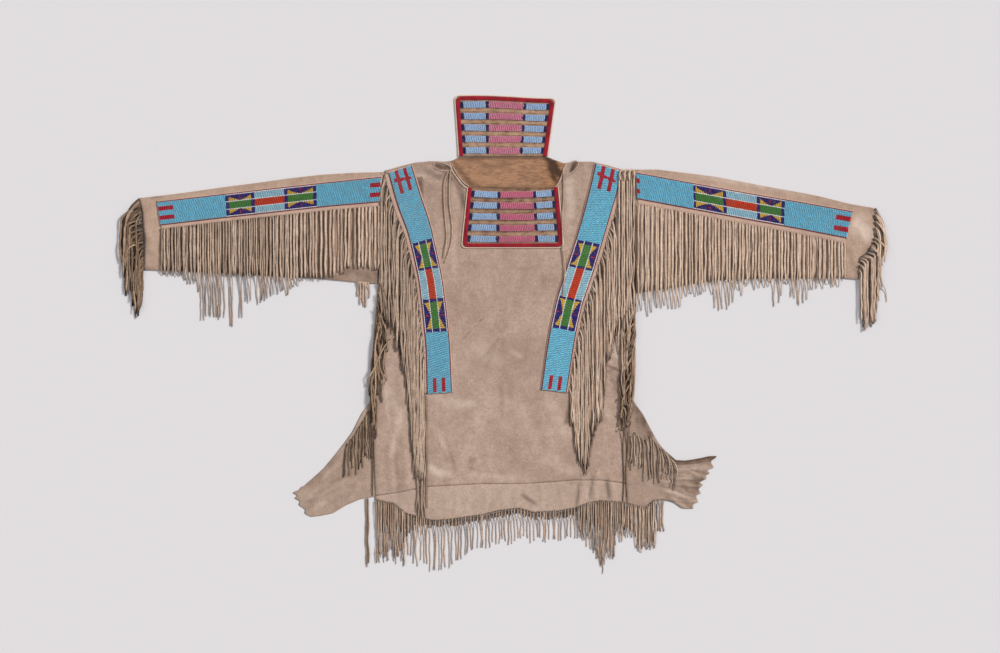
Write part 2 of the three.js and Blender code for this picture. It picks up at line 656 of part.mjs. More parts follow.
// Leg flaps: a row of locks along each upper edge, lying over the flap.
const flapYs = {
  left: [-156, -180, -204, -228, -252, -274],
  right: [-150, -166, -182, -198, -214, -230, -246, -262],
};
const flapEnds = {
  left: [-262, -280, -300, -312, -322, -330],
  right: [-270, -300, -330, -350, -340, -356, -350, -346],
};
for (const side of ["left", "right"]) {
  const out = side === "left" ? 1 : -1;
  fringe(`flap_fringe_${side}`, {
    roots: flapYs[side].map((y) => [(side === "left" ? back.left(y) : back.right(y)) + 6 * out, y]),
    end: (_, i) => flapEnds[side][i],
    width: NARROW,
  });
}

// A few long thongs come over the shoulder, and a short bunch hangs from the other sleeve's seam.
fringe("shoulder_drop", {
  roots: [267, 272, 277, 282].map((x) => [x, 344]),
  end: (_, i) => [-150, -226, -196, -172][i],
  width: NARROW,
  map: everything,
});
fringe("armpit_fringe", {
  roots: [-302, -297.5, -293, -288.5].map((x) => [x, read(sleeves.left.edges, "x", "bottom", x) + 4]),
  end: (_, i) => [72, 64, 66, 78][i],
  width: NARROW,
});

// Hem: cut from the band's own lower edge, and from the back's edge where the front stops short of it.
const hemEnds = table("x end",
  [-268, -489], [-218, -489], [-205, -495], [-160, -508], [-130, -495], [-98, -483], [-80, -461],
  [-46, -440], [30, -446], [80, -440], [126, -435], [160, -436], [195, -463], [212, -505], [220, -512],
  [229, -476], [250, -441], [266, -440]);
const hemLine = hemEdge.map(({ x, y }) => [x, y]);
fringe("hem_fringe", {
  roots: along(hemLine, 38, BESIDE).map(([x, y]) => [limit(x, -267, 264), y]),
  end: endAt(hemEnds),
});
fringe("hem_fringe_right", {
  roots: [282, 294, 306, 330, 342].map((x) => [x, read(backEdge, "x", "y", x) - BESIDE - 3]),
  end: (_, i) => [-466, -472, -455, -418, -405][i],
});
fringe("hem_fringe_left", {
  roots: [-291, -282].map((x) => [x, read(backEdge, "x", "y", x) - BESIDE]),
  end: (_, i) => [-498, -470][i],
  width: NARROW,
});

// ---------------------------------------------------------------- neck ties

// Rolled thongs, each from the neck down over the front: points along its middle.
const ties = {
  neck_tie_left_long: [
    [-108, 362], [-111, 340], [-112, 288], [-106, 232], [-108, 200], [-114, 177], [-123, 157],
  ],
  neck_tie_left_short: [
    [-114, 352], [-122, 334], [-124, 300], [-121, 250], [-118, 210], [-121, 180], [-122, 168],
  ],
  neck_tie_right: [[133, 356], [134, 309], [131, 250], [132, 191], [137, 145], [134, 110], [132, 83]],
};
for (const [name, route] of Object.entries(ties)) {
  const flat = new THREE.CatmullRomCurve3(route.map(([x, y]) => new THREE.Vector3(x, y, 0)));
  const steps = Math.round(flat.getLength() / (3 * TIE_WIDTH));
  const spots = flat.getSpacedPoints(Math.round(steps / 2));
  const lifted = spots.map((spot, i) => {
    const before = spots[Math.max(0, i - 1)];
    const after = spots[Math.min(spots.length - 1, i + 1)];
    const below = Math.max(
      highest([before.x, before.y], [spot.x, spot.y], TIE_WIDTH, everything),
      highest([spot.x, spot.y], [after.x, after.y], TIE_WIDTH, everything),
    );
    return new THREE.Vector3(spot.x, spot.y, below + 2 * SEAM + TIE_WIDTH / 2);
  });
  const round = new THREE.Shape(Array.from({ length: TIE_SIDES }, (_, k) => {
    const angle = (2 * Math.PI * k) / TIE_SIDES;
    return new THREE.Vector2(Math.cos(angle) * TIE_WIDTH / 2, Math.sin(angle) * TIE_WIDTH / 2);
  }));
  const extrudePath = new THREE.CatmullRomCurve3(lifted);
  add(name, new THREE.ExtrudeGeometry(round, { steps, extrudePath, bevelEnabled: false }), thong);
}

export default group;
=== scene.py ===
import bpy
import numpy as np
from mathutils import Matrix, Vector


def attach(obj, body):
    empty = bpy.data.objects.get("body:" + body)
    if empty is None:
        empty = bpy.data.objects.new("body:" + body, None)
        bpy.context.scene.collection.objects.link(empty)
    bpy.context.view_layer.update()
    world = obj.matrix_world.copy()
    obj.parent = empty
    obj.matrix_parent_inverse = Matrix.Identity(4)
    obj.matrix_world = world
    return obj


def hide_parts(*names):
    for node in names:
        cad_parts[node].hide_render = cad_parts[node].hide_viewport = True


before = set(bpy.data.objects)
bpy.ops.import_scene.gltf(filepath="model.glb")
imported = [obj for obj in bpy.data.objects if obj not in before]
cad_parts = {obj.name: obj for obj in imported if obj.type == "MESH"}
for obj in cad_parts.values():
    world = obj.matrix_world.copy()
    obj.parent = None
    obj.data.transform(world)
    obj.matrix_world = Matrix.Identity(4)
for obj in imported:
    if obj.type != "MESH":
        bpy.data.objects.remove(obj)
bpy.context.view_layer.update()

# ---------------------------------------------------------------- back hide
# The back of the shirt is one whole deer hide, brain-tanned and left the colour of smoke and dust. Its hind
# legs stay on as two flaps with pinked ends. It lies flat on the surface, and carries everything else.

MM = 0.001
HIDE = 1.5  # thickness of the tanned hide
SEAM = 0.3  # what parts one piece from another that it lies on
NECK_MIDDLE = 14  # x of the middle of the neck

back_sides = np.array([  # y, left x, right x
    [386, -248.9, 276.8], [109, -266, 289], [12, -274, 289], [-74, -281, 289], [-143, -284, 285],
    [-169, -302, 304], [-207, -321, 324], [-233, -340, 339], [-250, -353, 354], [-266, -366, 403],
    [-285, -382, 461], [-298, -396, 450], [-320, -421, 433], [-336, -450, 427],
    [-349, -446, 423], [-364, -437, 417], [-379, -427, 410], [-390, -418, 405]])
left_shoulder = [[-250, 355], [-218, 364], [-186, 372], [-154, 375], [-121, 374]]  # x, y
right_shoulder = [[160, 374], [195, 374], [229, 366], [263, 356], [278, 353]]
back_top = np.array([*left_shoulder, [-104, 377], [-91, 384], [1, 385], [96, 385], [117, 377], [134, 371],
                     *right_shoulder])
flap_tip = np.array([  # x, how far the right leg flap's upper edge stands above a straight cut
    [354, 0], [362, -8], [369, -12], [380, -10], [395, -5.6], [410, 1.3], [430, 11.4], [445, 20], [461, 26]])
flap_teeth = np.array([  # y, x down the pinked end of the right leg flap, tooth by tooth
    [-262, 462], [-271, 449], [-284, 457], [-290, 442], [-297, 449], [-303, 436], [-308, 442], [-316, 425],
    [-321, 434], [-330, 424], [-340, 429], [-343, 418], [-359, 423], [-361, 413], [-374, 412]])
flap_fold = np.array([  # x, y along the upper edge of the right leg flap
    [352, -250], [366, -264], [375, -268], [393, -269], [410, -267], [428, -264], [446, -260], [462, -260]])
back_edge = np.array([  # x, y
    [-416, -390], [-390, -388], [-362, -382], [-332, -364], [-304, -352], [-274, -347], [-218, -354],
    [-3, -360], [212, -354], [276, -362], [309, -372], [328, -355], [343, -352], [369, -358],
    [386, -371], [413, -373]])
front_sides = np.array([  # y, left x, right x: the front hide and the hem band lie on the back between these
    [386, -248.9, 276.8], [109, -266, 289], [12, -274, 285], [-74, -281, 281], [-139, -281, 278],
    [-225, -276, 274], [-332, -272, 269], [-410, -270, 268]])


def reading(rows, at, column=1):
    """A column of a table at each place in its first column, on straight lines between its rows."""
    order = np.argsort(rows[:, 0], kind="stable")
    return np.interp(at, rows[order, 0], rows[order, column])


def ease(t):
    """A soft step: 3 t squared less 2 t cubed, held at 0 and at 1 outside."""
    t = np.clip(t, 0, 1)
    return t * t * (3 - 2 * t)


def spaced(*stretches):
    """Shares from 0 to 1 in stretches, each given by where it ends and its number of even steps."""
    starts = [0, *(end for end, _ in stretches)]
    steps = [np.linspace(start, end, count + 1)[1:] for start, (end, count) in zip(starts, stretches)]
    return np.concatenate([[0], *steps])


def hide_points(sides, top, bottom, across, up, gap=0.0):
    """x and y of a hide on a grid. y is a share up of the way from the lower to the upper edge, and x a
    share across of the way from the left to the right side at that height. The edges' own shares come from
    their tables."""
    def shares(edge):
        left, right = reading(sides, edge[:, 1]), reading(sides, edge[:, 1], 2)
        return np.column_stack([np.clip((edge[:, 0] - left) / (right - left), 0, 1), edge[:, 1]])

    low = reading(shares(bottom), across)[:, None]
    high = reading(shares(top), across)[:, None] - gap
    y = low + (high - low) * up[None, :]
    left, right = reading(sides, y), reading(sides, y, 2)
    return left + (right - left) * across[:, None], y


def creases(x, y, rows):
    """Sum of soft creases. Each goes from one point to another; its height falls with the square of the
    distance aside from its line, and fades past both ends. A rise under nought is a trough."""
    total = np.zeros_like(x)
    for x1, y1, x2, y2, width, rise in rows:
        length = np.hypot(x2 - x1, y2 - y1)
        along = ((x - x1) * (x2 - x1) + (y - y1) * (y2 - y1)) / length**2
        bend = 0.16 * width * np.sin(5.1 * along + x1 * 0.07)
        aside = ((x - x1) * (y2 - y1) - (y - y1) * (x2 - x1)) / length + bend
        ends = ease((along + 0.2) / 0.4) * ease((1.2 - along) / 0.4)
        total += rise * ends * np.clip(1 - (aside / width) ** 2, 0, 1) ** 2
    return total


def make_piece(name, points, faces, finish, marks=()):
    """A mesh object at the origin from points in millimetres and arrays of faces with three, four or more
    corners. Marks are named values or colours kept on its points."""
    mesh = bpy.data.meshes.new(name)
    points = np.asarray(points, float).reshape(-1, 3)
    mesh.vertices.add(len(points))
    mesh.vertices.foreach_set("co", (points * MM).ravel())
    corners = np.concatenate([f.ravel() for f in faces])
    sizes = np.concatenate([np.full(len(f), f.shape[1]) for f in faces])
    mesh.loops.add(len(corners))
    mesh.loops.foreach_set("vertex_index", corners.astype(np.int32))
    mesh.polygons.add(len(sizes))
    mesh.polygons.foreach_set("loop_start", (np.cumsum(sizes) - sizes).astype(np.int32))
    mesh.polygons.foreach_set("use_smooth", np.full(len(sizes), True))
    for mark, values in dict(marks).items():
        values = np.asarray(values, float)
        if values.ndim == 2:
            rgba = np.column_stack([values, np.ones(len(values))])
            mesh.attributes.new(mark, "FLOAT_COLOR", "POINT").data.foreach_set("color", rgba.ravel())
        else:
            mesh.attributes.new(mark, "FLOAT", "POINT").data.foreach_set("value", values.ravel())
    mesh.update(calc_edges=True)
    mesh.validate()
    piece = bpy.data.objects.new(name, mesh)
    bpy.context.scene.collection.objects.link(piece)
    mesh.materials.append(finish)
    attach(piece, "root")
    return piece


def skin(name, x, y, z, finish, marks=()):
    """A closed thin hide on a grid: its upper face goes through every point, its lower face lies a
    thickness under every second one, and a rim joins the two."""
    m, n = x.shape
    upper = np.arange(m * n).reshape(m, n)
    lower = (m * n + np.arange(((m + 1) // 2) * ((n + 1) // 2))).reshape((m + 1) // 2, (n + 1) // 2)
    z = z.copy()
    z[[0, -1], :] -= 0.3 * HIDE
    z[:, [0, -1]] -= 0.3 * HIDE
    under = z[::2, ::2] - HIDE
    under[1:-1, 1:-1] = np.minimum(under[1:-1, 1:-1], z[2:-2:2, 2:-2:2] - HIDE)
    points = np.concatenate([
        np.stack([x, y, z], -1).reshape(-1, 3),
        np.stack([x[::2, ::2], y[::2, ::2], np.maximum(under, 0)], -1).reshape(-1, 3)])

    def cells(i):
        return np.stack([i[:-1, :-1], i[1:, :-1], i[1:, 1:], i[:-1, 1:]], -1).reshape(-1, 4)

    def loop(i):
        return np.concatenate([i[:-1, 0], i[-1, :-1], i[:0:-1, -1], i[0, :0:-1]])

    t, b = loop(upper), loop(lower)
    t0, t1, t2 = t[::2], t[1::2], np.roll(t, -2)[::2]
    b1 = np.roll(b, -1)
    rim = np.concatenate([np.stack(w, -1) for w in ((b, t1, t0), (b, b1, t1), (b1, t2, t1))])
    both = {k: np.concatenate([v.reshape(-1, *v.shape[2:]), v[::2, ::2].reshape(-1, *v.shape[2:])])
            for k, v in dict(marks).items()}
    return make_piece(name, points, [cells(upper), cells(lower)[:, ::-1], rim], finish, both)


# What has been laid so far, as the highest point over squares of 2 mm: hides alone, and everything.
SQUARE = 2.0
SQUARES = 900, 600  # across and up, around the origin
hides = np.zeros(SQUARES)
everything = np.zeros(SQUARES)


def square_of(x, y, aside=0, ahead=0):
    """The square under each point, or one so many squares beside it, kept on the map."""
    i = np.floor((x + SQUARES[0] * SQUARE / 2) / SQUARE).astype(int)
    j = np.floor((y + SQUARES[1] * SQUARE / 2) / SQUARE).astype(int)
    return np.clip(i + aside, 0, SQUARES[0] - 1), np.clip(j + ahead, 0, SQUARES[1] - 1)


def lay(x, y, z, *maps):
    """Keeps the highest point of a grid over its square and the ones beside it."""
    for kept in maps:
        for aside, ahead in [(a, b) for a in (-1, 0, 1) for b in (-1, 0, 1)]:
            np.maximum.at(kept, square_of(x.ravel(), y.ravel(), aside, ahead), z.ravel())


def resting(x, y, kept, reach=1):
    """Height of what lies below each point: the highest square within a reach of so many squares."""
    wide = kept
    for _ in range(reach):
        wide = np.maximum.reduce([wide, np.roll(wide, 1, 0), np.roll(wide, -1, 0)])
        wide = np.maximum.reduce([wide, np.roll(wide, 1, 1), np.roll(wide, -1, 1)])
    return wide[square_of(x, y)]


def bridged(z, passes):
    """Heights along the second axis with narrow hollows bridged: so many times over, each is raised to at
    least the mean of the two beside it."""
    for _ in range(passes):
        z[:, 1:-1] = np.maximum(z[:, 1:-1], (z[:, :-2] + z[:, 2:]) / 2)
    return z


def dye(red, green, blue):
    """A colour given as 0 to 255 on screen, as the linear values that a material takes."""
    c = np.array([red, green, blue]) / 255
    return tuple(np.where(c > 0.04045, ((c + 0.055) / 1.055) ** 2.4, c / 12.92))


def new_group(name, inputs, outputs):
    """An empty node group with its named sockets, and its input and output nodes."""
    group = bpy.data.node_groups.new(name, "ShaderNodeTree")
    for kind, socket, value in inputs:
        made = group.interface.new_socket(socket, in_out="INPUT", socket_type=kind)
        made.default_value = value
    for kind, socket in outputs:
        group.interface.new_socket(socket, in_out="OUTPUT", socket_type=kind)
    return group, group.nodes.new("NodeGroupInput"), group.nodes.new("NodeGroupOutput")


def mixed(tree, first, second, share):
    """A colour between two, by a share; each is a socket or a value."""
    node = tree.nodes.new("ShaderNodeMix")
    node.data_type = "RGBA"
    for socket, value in ((0, share), (6, first), (7, second)):
        if hasattr(value, "links"):
            tree.links.new(value, node.inputs[socket])
        else:
            node.inputs[socket].default_value = value if socket == 0 else (*value, 1)
    return node.outputs[2]


def worked(tree, kind, first, second=0.0):
    """One step of arithmetic of the named kind on sockets or values."""
    node = tree.nodes.new("ShaderNodeMath")
    node.operation = kind
    for socket, value in enumerate((first, second)):
        if hasattr(value, "links"):
            tree.links.new(value, node.inputs[socket])
        else:
            node.inputs[socket].default_value = value
    return node.outputs[0]


def ramped(tree, value, low, high, out_low=0.0, out_high=1.0):
    """A value moved from one range to another, held at its ends."""
    node = tree.nodes.new("ShaderNodeMapRange")
    node.clamp = True
    tree.links.new(value, node.inputs[0])
    for socket, number in zip(range(1, 5), (low, high, out_low, out_high)):
        node.inputs[socket].default_value = number
    return node.outputs[0]


def noise(tree, where, scale, detail=3.0, rough=0.55):
    """Smooth noise at so many waves a metre."""
    node = tree.nodes.new("ShaderNodeTexNoise")
    tree.links.new(where, node.inputs["Vector"])
    node.inputs["Detail"].default_value = detail
    node.inputs["Roughness"].default_value = rough
    if hasattr(scale, "links"):
        tree.links.new(scale, node.inputs["Scale"])
    else:
        node.inputs["Scale"].default_value = scale
    return node.outputs["Fac"]


def own_place(tree):
    """The object's own coordinates, in metres."""
    return tree.nodes.new("ShaderNodeTexCoord").outputs["Object"]


def buckskin_group():
    """Brain-tanned hide: a tone clouded with a darker one at two sizes, short nap, dark flecks, pale scuff
    marks, and paler places of wear and darker dirty places, some of them a painted highlight and painted
    shade. It puts out a colour, a roughness and a height."""
    group, given, out = new_group("buckskin", [
        ("NodeSocketColor", "Tone", (0.5, 0.38, 0.29, 1)),
        ("NodeSocketColor", "Cloud", (0.36, 0.26, 0.19, 1)),
        ("NodeSocketColor", "Dirt", (0.12, 0.075, 0.045, 1)), ("NodeSocketFloat", "Soil_and_shade", 0.0),
        ("NodeSocketFloat", "Rubbed_and_highlit", 0.0), ("NodeSocketFloat", "Cloudiness", 0.6),
        ("NodeSocketFloat", "Nap", 0.5), ("NodeSocketFloat", "Flecks", 0.5)],
        [("NodeSocketColor", "Colour"), ("NodeSocketFloat", "Roughness"), ("NodeSocketFloat", "Height")])
    place = own_place(group)
    g = given.outputs

    def times(first, second):
        return worked(group, "MULTIPLY", first, second)

    broad = ramped(group, noise(group, place, 8.0, 4.0), 0.36, 0.66)
    patch = ramped(group, noise(group, place, 46.0, 5.0, 0.62), 0.38, 0.68)
    mottle = ramped(group, noise(group, place, 150.0, 5.0, 0.7), 0.36, 0.66)
    grain = noise(group, place, 420.0, 4.0, 0.75)
    fleck = ramped(group, noise(group, place, 190.0, 2.0), 0.66, 0.74)
    scuff = ramped(group, noise(group, place, 95.0, 3.0), 0.6, 0.78)
    cloud = times(worked(group, "ADD", times(broad, 0.6), times(patch, 0.5)), g["Cloudiness"])
    colour = mixed(group, g["Tone"], g["Cloud"], cloud)
    colour = mixed(group, colour, g["Cloud"], times(mottle, times(g["Nap"], 0.9)))
    nap = times(worked(group, "SUBTRACT", grain, 0.47), times(g["Nap"], 2.0))
    bright = group.nodes.new("ShaderNodeVectorMath")
    bright.operation = "SCALE"
    group.links.new(colour, bright.inputs[0])
    group.links.new(worked(group, "ADD", 1.0, nap), bright.inputs["Scale"])
    colour = mixed(group, bright.outputs[0], dye(214, 196, 180), times(scuff, 0.22))
    # Paler places of wear, and on some pieces a painted highlight.
    patchy = times(g["Rubbed_and_highlit"], ramped(group, patch, 0.0, 1.0, 1.0, 0.45))
    colour = mixed(group, colour, dye(222, 200, 184), patchy)
    colour = mixed(group, colour, g["Dirt"], times(times(fleck, 0.45), g["Flecks"]))
    # Darker dirty places, and on many pieces painted shade.
    soiled_and_shaded = times(g["Soil_and_shade"], ramped(group, patch, 0.0, 1.0, 0.72, 1.1))
    colour = mixed(group, colour, g["Dirt"], worked(group, "MINIMUM", soiled_and_shaded, 0.92))
    group.links.new(colour, out.inputs["Colour"])
    group.links.new(ramped(group, soiled_and_shaded, 0.0, 1.0, 0.93, 0.72), out.inputs["Roughness"])
    height = worked(group, "ADD", times(grain, 0.5), times(patch, 0.5))
    group.links.new(worked(group, "SUBTRACT", height, times(fleck, 0.2)), out.inputs["Height"])
    return group


def marked(tree, name, colour=False):
    """A value or a colour kept on a piece's own points."""
    node = tree.nodes.new("ShaderNodeAttribute")
    node.attribute_name = name
    return node.outputs["Color" if colour else "Fac"]


def bare_material(name, roughness=0.9, sheen=0.0):
    """A new material with its shader, and the tree to build in."""
    finish = bpy.data.materials.new(name)
    finish.use_nodes = True
    shader = finish.node_tree.nodes["Principled BSDF"]
    shader.inputs["Roughness"].default_value = roughness
    shader.inputs["Sheen Weight"].default_value = sheen
    shader.inputs["Sheen Roughness"].default_value = 0.5
    shader.inputs["Specular IOR Level"].default_value = 0.25
    return finish, finish.node_tree, shader


def bumped(tree, shader, height, depth):
    """Relief on a shader from a height, so many millimetres deep."""
    node = tree.nodes.new("ShaderNodeBump")
    node.inputs["Strength"].default_value = 0.6
    node.inputs["Distance"].default_value = depth * MM
    tree.links.new(height, node.inputs["Height"])
    tree.links.new(node.outputs[0], shader.inputs["Normal"])


buckskin = buckskin_group()


def buckskin_on(tree, shader, relief, **sockets):
    """Puts the buckskin group on a shader, with its dirty places and painted shade read from the piece's
    points and its relief so many millimetres deep. A colour is given as 0 to 255 on screen."""
    node = tree.nodes.new("ShaderNodeGroup")
    node.node_tree = buckskin
    for socket, value in sockets.items():
        node.inputs[socket].default_value = (*dye(*value), 1) if isinstance(value, tuple) else value
    tree.links.new(marked(tree, "soil_and_shade"), node.inputs["Soil_and_shade"])
    tree.links.new(node.outputs["Colour"], shader.inputs["Base Color"])
    tree.links.new(node.outputs["Roughness"], shader.inputs["Roughness"])
    bumped(tree, shader, node.outputs["Height"], relief)
    return node


def hide_material(name, tone, cloud, dirt_and_shade=(74, 56, 42), cloudiness=0.6, nap=0.4, flecks=0.5, relief=1.0):
    """A buckskin finish with its own tones; dirty and paler places, painted shade and painted highlights
    among them, are read from the piece's points.
    """
    finish, tree, shader = bare_material(name, sheen=0.12)
    node = buckskin_on(tree, shader, relief, Tone=tone, Cloud=cloud, Dirt=dirt_and_shade, Cloudiness=cloudiness,
                       Nap=nap, Flecks=flecks)
    tree.links.new(marked(tree, "rubbed_and_highlit"), node.inputs["Rubbed_and_highlit"])
    return finish


# Waves and curls of the leg flaps, and the hide's soft hollows: x1, y1, x2, y2, width, rise.
back_creases = [
    [340, -296, 448, -284, 8, 3.2], [345, -316, 436, -304, 7, 2.6], [352, -334, 425, -362, 8, 3.0],
    [376, -322, 430, -324, 6, 2.4], [388, -340, 428, -342, 6, 2.2], [318, -262, 372, -274, 12, 1.2],
    [372, -276, 455, -266, 6, 2.6], [400, -290, 440, -310, 5, 1.8], [360, -352, 404, -374, 6, 1.8],
    [330, -352, 392, -352, 9, 1.4], [296, -214, 330, -262, 10, 1.4],
    [-300, -230, -346, -300, 13, 2.0], [-318, -312, -424, -348, 14, 2.2], [-336, -330, -408, -380, 12, 1.8],
    [-300, -318, -330, -356, 12, 1.4], [-352, -268, -390, -318, 10, 1.6], [-296, -190, -310, -236, 9, 1.2],
    [-60, 372, 40, 352, 16, 0.6], [20, 376, 90, 350, 14, 0.7], [-84, 344, -30, 330, 12, 0.6]]


# Shaded folds of the leg flaps, and grease and shade inside the neck: x1, y1, x2, y2, width, amount.
flap_shades = [
    [380, -322, 424, -330, 13, 1], [352, -346, 372, -362, 10, 0.8], [300, -372, 345, -364, 12, 0.7],
    [-398, -352, -424, -372, 12, 0.5], [412, -300, 440, -318, 9, 0.9], [290, -152, 316, -222, 20, 1.5],
    [400, -312, 424, -320, 6, 1.0], [396, -334, 418, -342, 5, 1.0], [384, -318, 412, -338, 2.4, 0.8],
    [366, -356, 402, -361, 2.4, 1.0], [376, -284, 430, -280, 5, 0.4], [352, -300, 415, -306, 4, 0.5],
    [372, -310, 428, -312, 3, 0.9], [340, -322, 398, -340, 4, 0.7], [380, -350, 418, -352, 4, 0.7],
    [402, -286, 448, -300, 4, 0.8], [396, -362, 412, -372, 4, 0.6], [330, -280, 350, -330, 5, 0.4],
    [-345, -305, -400, -345, 8, 0.4]]
neck_shades = [
    [94, 382, 128, 350, 10, 1.1], [100, 366, 120, 330, 10, 1.0], [112, 376, 126, 340, 8, 1.0],
    [-96, 382, 100, 384, 7, 0.8], [-108, 376, -60, 318, 8, 0.6], [-50, 319, 90, 315, 5, 0.8],
    [-40, 366, 20, 370, 10, 0.2], [88, 344, 108, 330, 7, -0.5]]


def past_front(x, y):
    """How far a point of the back lies outside the sides of the front, in millimetres."""
    return np.maximum(reading(front_sides, y) - x, x - reading(front_sides, y, 2))


def back_height(x, y):
    """Upper side of the back hide: flat, with its creases where the front doesn't cover it."""
    out = past_front(x, y)
    open_neck = (np.abs(x - NECK_MIDDLE) < 112) & (y > 315)
    return HIDE + np.maximum(creases(x, y, back_creases), 0) * np.where(open_neck, 1, ease((out - 6) / 30))


across = spaced((0.2, 56), (0.8, 66), (1, 56))
up = spaced((0.16, 74), (0.36, 30), (0.9, 26), (1, 18))
x, y = hide_points(back_sides, back_top, back_edge, across, up)
side = np.sign(across - 0.5)[:, None]
rim_near = ease((np.abs(across - 0.5) - 0.47) / 0.03)[:, None]
pinked = (side < 0) & (y < -322)
TOOTH_PITCH, TOOTH_DEPTH = 13.5, 8.0  # of the left leg flap's pinked end
tooth = np.abs(((y * 0.94 + 2.3 * np.sin(y * 0.11)) / TOOTH_PITCH) % 1 - 0.5) * 2
upper_edge = (side > 0) * rim_near * ease((y + 292) / 6) * ease((x - 350) / 12)
past_tip = (side > 0) * rim_near * (y < -284)
y = y + reading(flap_tip, x) * ease((y + 335) / 50)
x = x - side * rim_near * pinked * TOOTH_DEPTH * tooth
x = x + past_tip * (x > 405) * (reading(flap_teeth, y[-1]) - x[-1])
z = back_height(x, y) + 1.6 * upper_edge
# Painted shade under the curled upper edge of the right leg flap (folded); the shade tables add painted shade
# in the flaps' folds and inside the neck.
below_edge = (x > 356) * (reading(flap_fold, x) - y)  # distance below the right flap's upper edge
folded = 0.6 * ease((12 - below_edge) / 4) + 0.4 * ease((4.5 - below_edge) / 2)
folded = ease((x - 356) / 16) * folded * (y < -248)
in_neck = ease((128 - np.abs(x - NECK_MIDDLE)) / 12) * ease((y - 300) / 10)
flap = ease(past_front(x, y) / 30)
soil_and_shade = 0.06 * flap + 0.3 * rim_near * flap * ease((y + 360) / 60) + folded
soil_and_shade = (soil_and_shade + 0.5 * np.clip(creases(x, y, flap_shades), 0, 1)) * (1 - in_neck)
soil_and_shade = soil_and_shade + in_neck * np.clip(creases(x, y, neck_shades), 0, 0.92)
rubbed_and_highlit = 0.5 * ease((0.006 - np.abs(np.abs(across - 0.5) - 0.494)) / 0.006)[:, None] * flap * (y < -150)
rubbed_and_highlit = rubbed_and_highlit * (y > -262) + 0.2 * np.clip(creases(x, y, back_creases) - 0.6, 0, 1) * flap
inside = in_neck * (0.8 + 0.2 * ease((x - 60) / 60))
lay(x, y, z, hides, everything)

# Inside the neck the hide is greased brown by wear, in short strokes that run across. Its marks from the
# neck's table darken it further with grease and painted shade.
back_finish = hide_material("buckskin_back", (191, 166, 149), (152, 126, 109), dirt_and_shade=(84, 60, 44),
                            cloudiness=0.75, nap=0.5, flecks=0.8, relief=1.4)
tree = back_finish.node_tree
shader = tree.nodes["Principled BSDF"]
plain = shader.inputs["Base Color"].links[0].from_socket
stretched = tree.nodes.new("ShaderNodeMapping")
stretched.inputs["Scale"].default_value = (0.28, 1.0, 1.0)
place = own_place(tree)
tree.links.new(place, stretched.inputs["Vector"])
strokes = noise(tree, stretched.outputs[0], 260.0, 4.0, 0.7)
greased = mixed(tree, dye(188, 138, 98), dye(128, 88, 62), ramped(tree, strokes, 0.34, 0.66))
blotches = ramped(tree, noise(tree, place, 26.0, 5.0), 0.5, 0.72, 0.0, 0.6)
greased = mixed(tree, greased, dye(110, 74, 52), blotches)
greased = mixed(tree, greased, dye(60, 40, 28), marked(tree, "soil_and_shade"))
tree.links.new(mixed(tree, plain, greased, marked(tree, "inside")), shader.inputs["Base Color"])
back = skin("back_hide", x, y, z, back_finish,
            marks={"soil_and_shade": soil_and_shade, "inside": np.clip(inside, 0, 1), "rubbed_and_highlit": np.clip(rubbed_and_highlit, 0, 1)})
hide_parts("back_panel")

# ---------------------------------------------------------------- front hide and hem band
# The front is a second whole hide, cut off at the hem and pieced out with a band sewn under its lower edge.
# Years of wear have rubbed it smooth in the middle and left it dusty at the seams.

front_top = np.array([
    *left_shoulder, [-106, 370], [-96, 349], [-85, 332], [-74, 319], [-46, 314], [18, 311], [83, 314],
    [119, 320], [128, 339], [134, 360], [143, 369], *right_shoulder])
hem_seam = np.array([  # x, y
    [-272, -345], [-223, -338], [-160, -325], [-46, -319], [40, -319], [104, -315], [158, -311],
    [212, -311], [253, -316], [269, -319]])
hem_edge = np.array([  # x, y
    [-272, -354], [-231, -362], [-207, -382], [-175, -392], [-145, -399], [-102, -395], [-46, -387],
    [-3, -377], [40, -372], [68, -381], [126, -378], [158, -372], [184, -362], [212, -356], [269, -360]])

PUFF = 1.1  # how far the front stands off the back, away from its seams

# Soft troughs and ridges of the front, uneven in length, depth and spacing: x1, y1, x2, y2, width, rise.
front_creases = [
    [-238, -205, -236, -335, 13, 2.0], [-208, -215, -206, -330, 12, 1.8], [-223, -240, -220, -350, 9, -1.6],
    [-246, 60, -196, -50, 20, 1.2], [262, 70, 196, -40, 22, 1.2], [212, -53, 262, -84, 16, 1.5],
    [204, -72, 252, -100, 12, -1.0], [176, -296, 168, -372, 9, 2.4], [204, -292, 200, -352, 9, 2.6],
    [236, -296, 238, -356, 9, 2.3], [190, -300, 186, -360, 7, -1.2], [220, -298, 219, -350, 7, -1.2],
    [-30, 120, -90, -190, 40, 0.9], [70, 60, 110, -240, 45, 0.8], [-100, -60, -150, -300, 26, 0.7],
    [20, -80, 30, -300, 34, 0.6], [-60, 80, -20, -60, 22, -0.5], [60, 150, 96, 40, 20, 0.6],
    [-110, 60, -128, -40, 16, 0.6], [118, -120, 150, -260, 20, 0.7], [-180, -170, -190, -300, 18, 0.8],
    [-90, -210, -20, -250, 18, 0.5], [30, -210, 90, -230, 16, 0.5], [-150, 330, -140, 210, 12, 0.8],
    [-128, 340, -118, 250, 9, -0.6], [160, 340, 168, 240, 11, 0.7], [226, 330, 240, 200, 14, 0.9],
    [-214, 330, -222, 240, 12, 0.8], [-30, -330, -36, -372, 9, 1.1], [30, -326, 34, -366, 10, 1.0],
    [84, -324, 88, -372, 8, 1.2], [128, -322, 130, -370, 8, 1.0], [-100, -330, -96, -388, 10, 1.1],
    [-160, -332, -164, -388, 9, 1.2], [140, -318, 210, -326, 7, -0.7], [-250, -20, -256, -130, 12, 1.0],
    [250, -20, 254, -150, 12, 1.1], [-190, 20, -150, -20, 9, 0.6]]


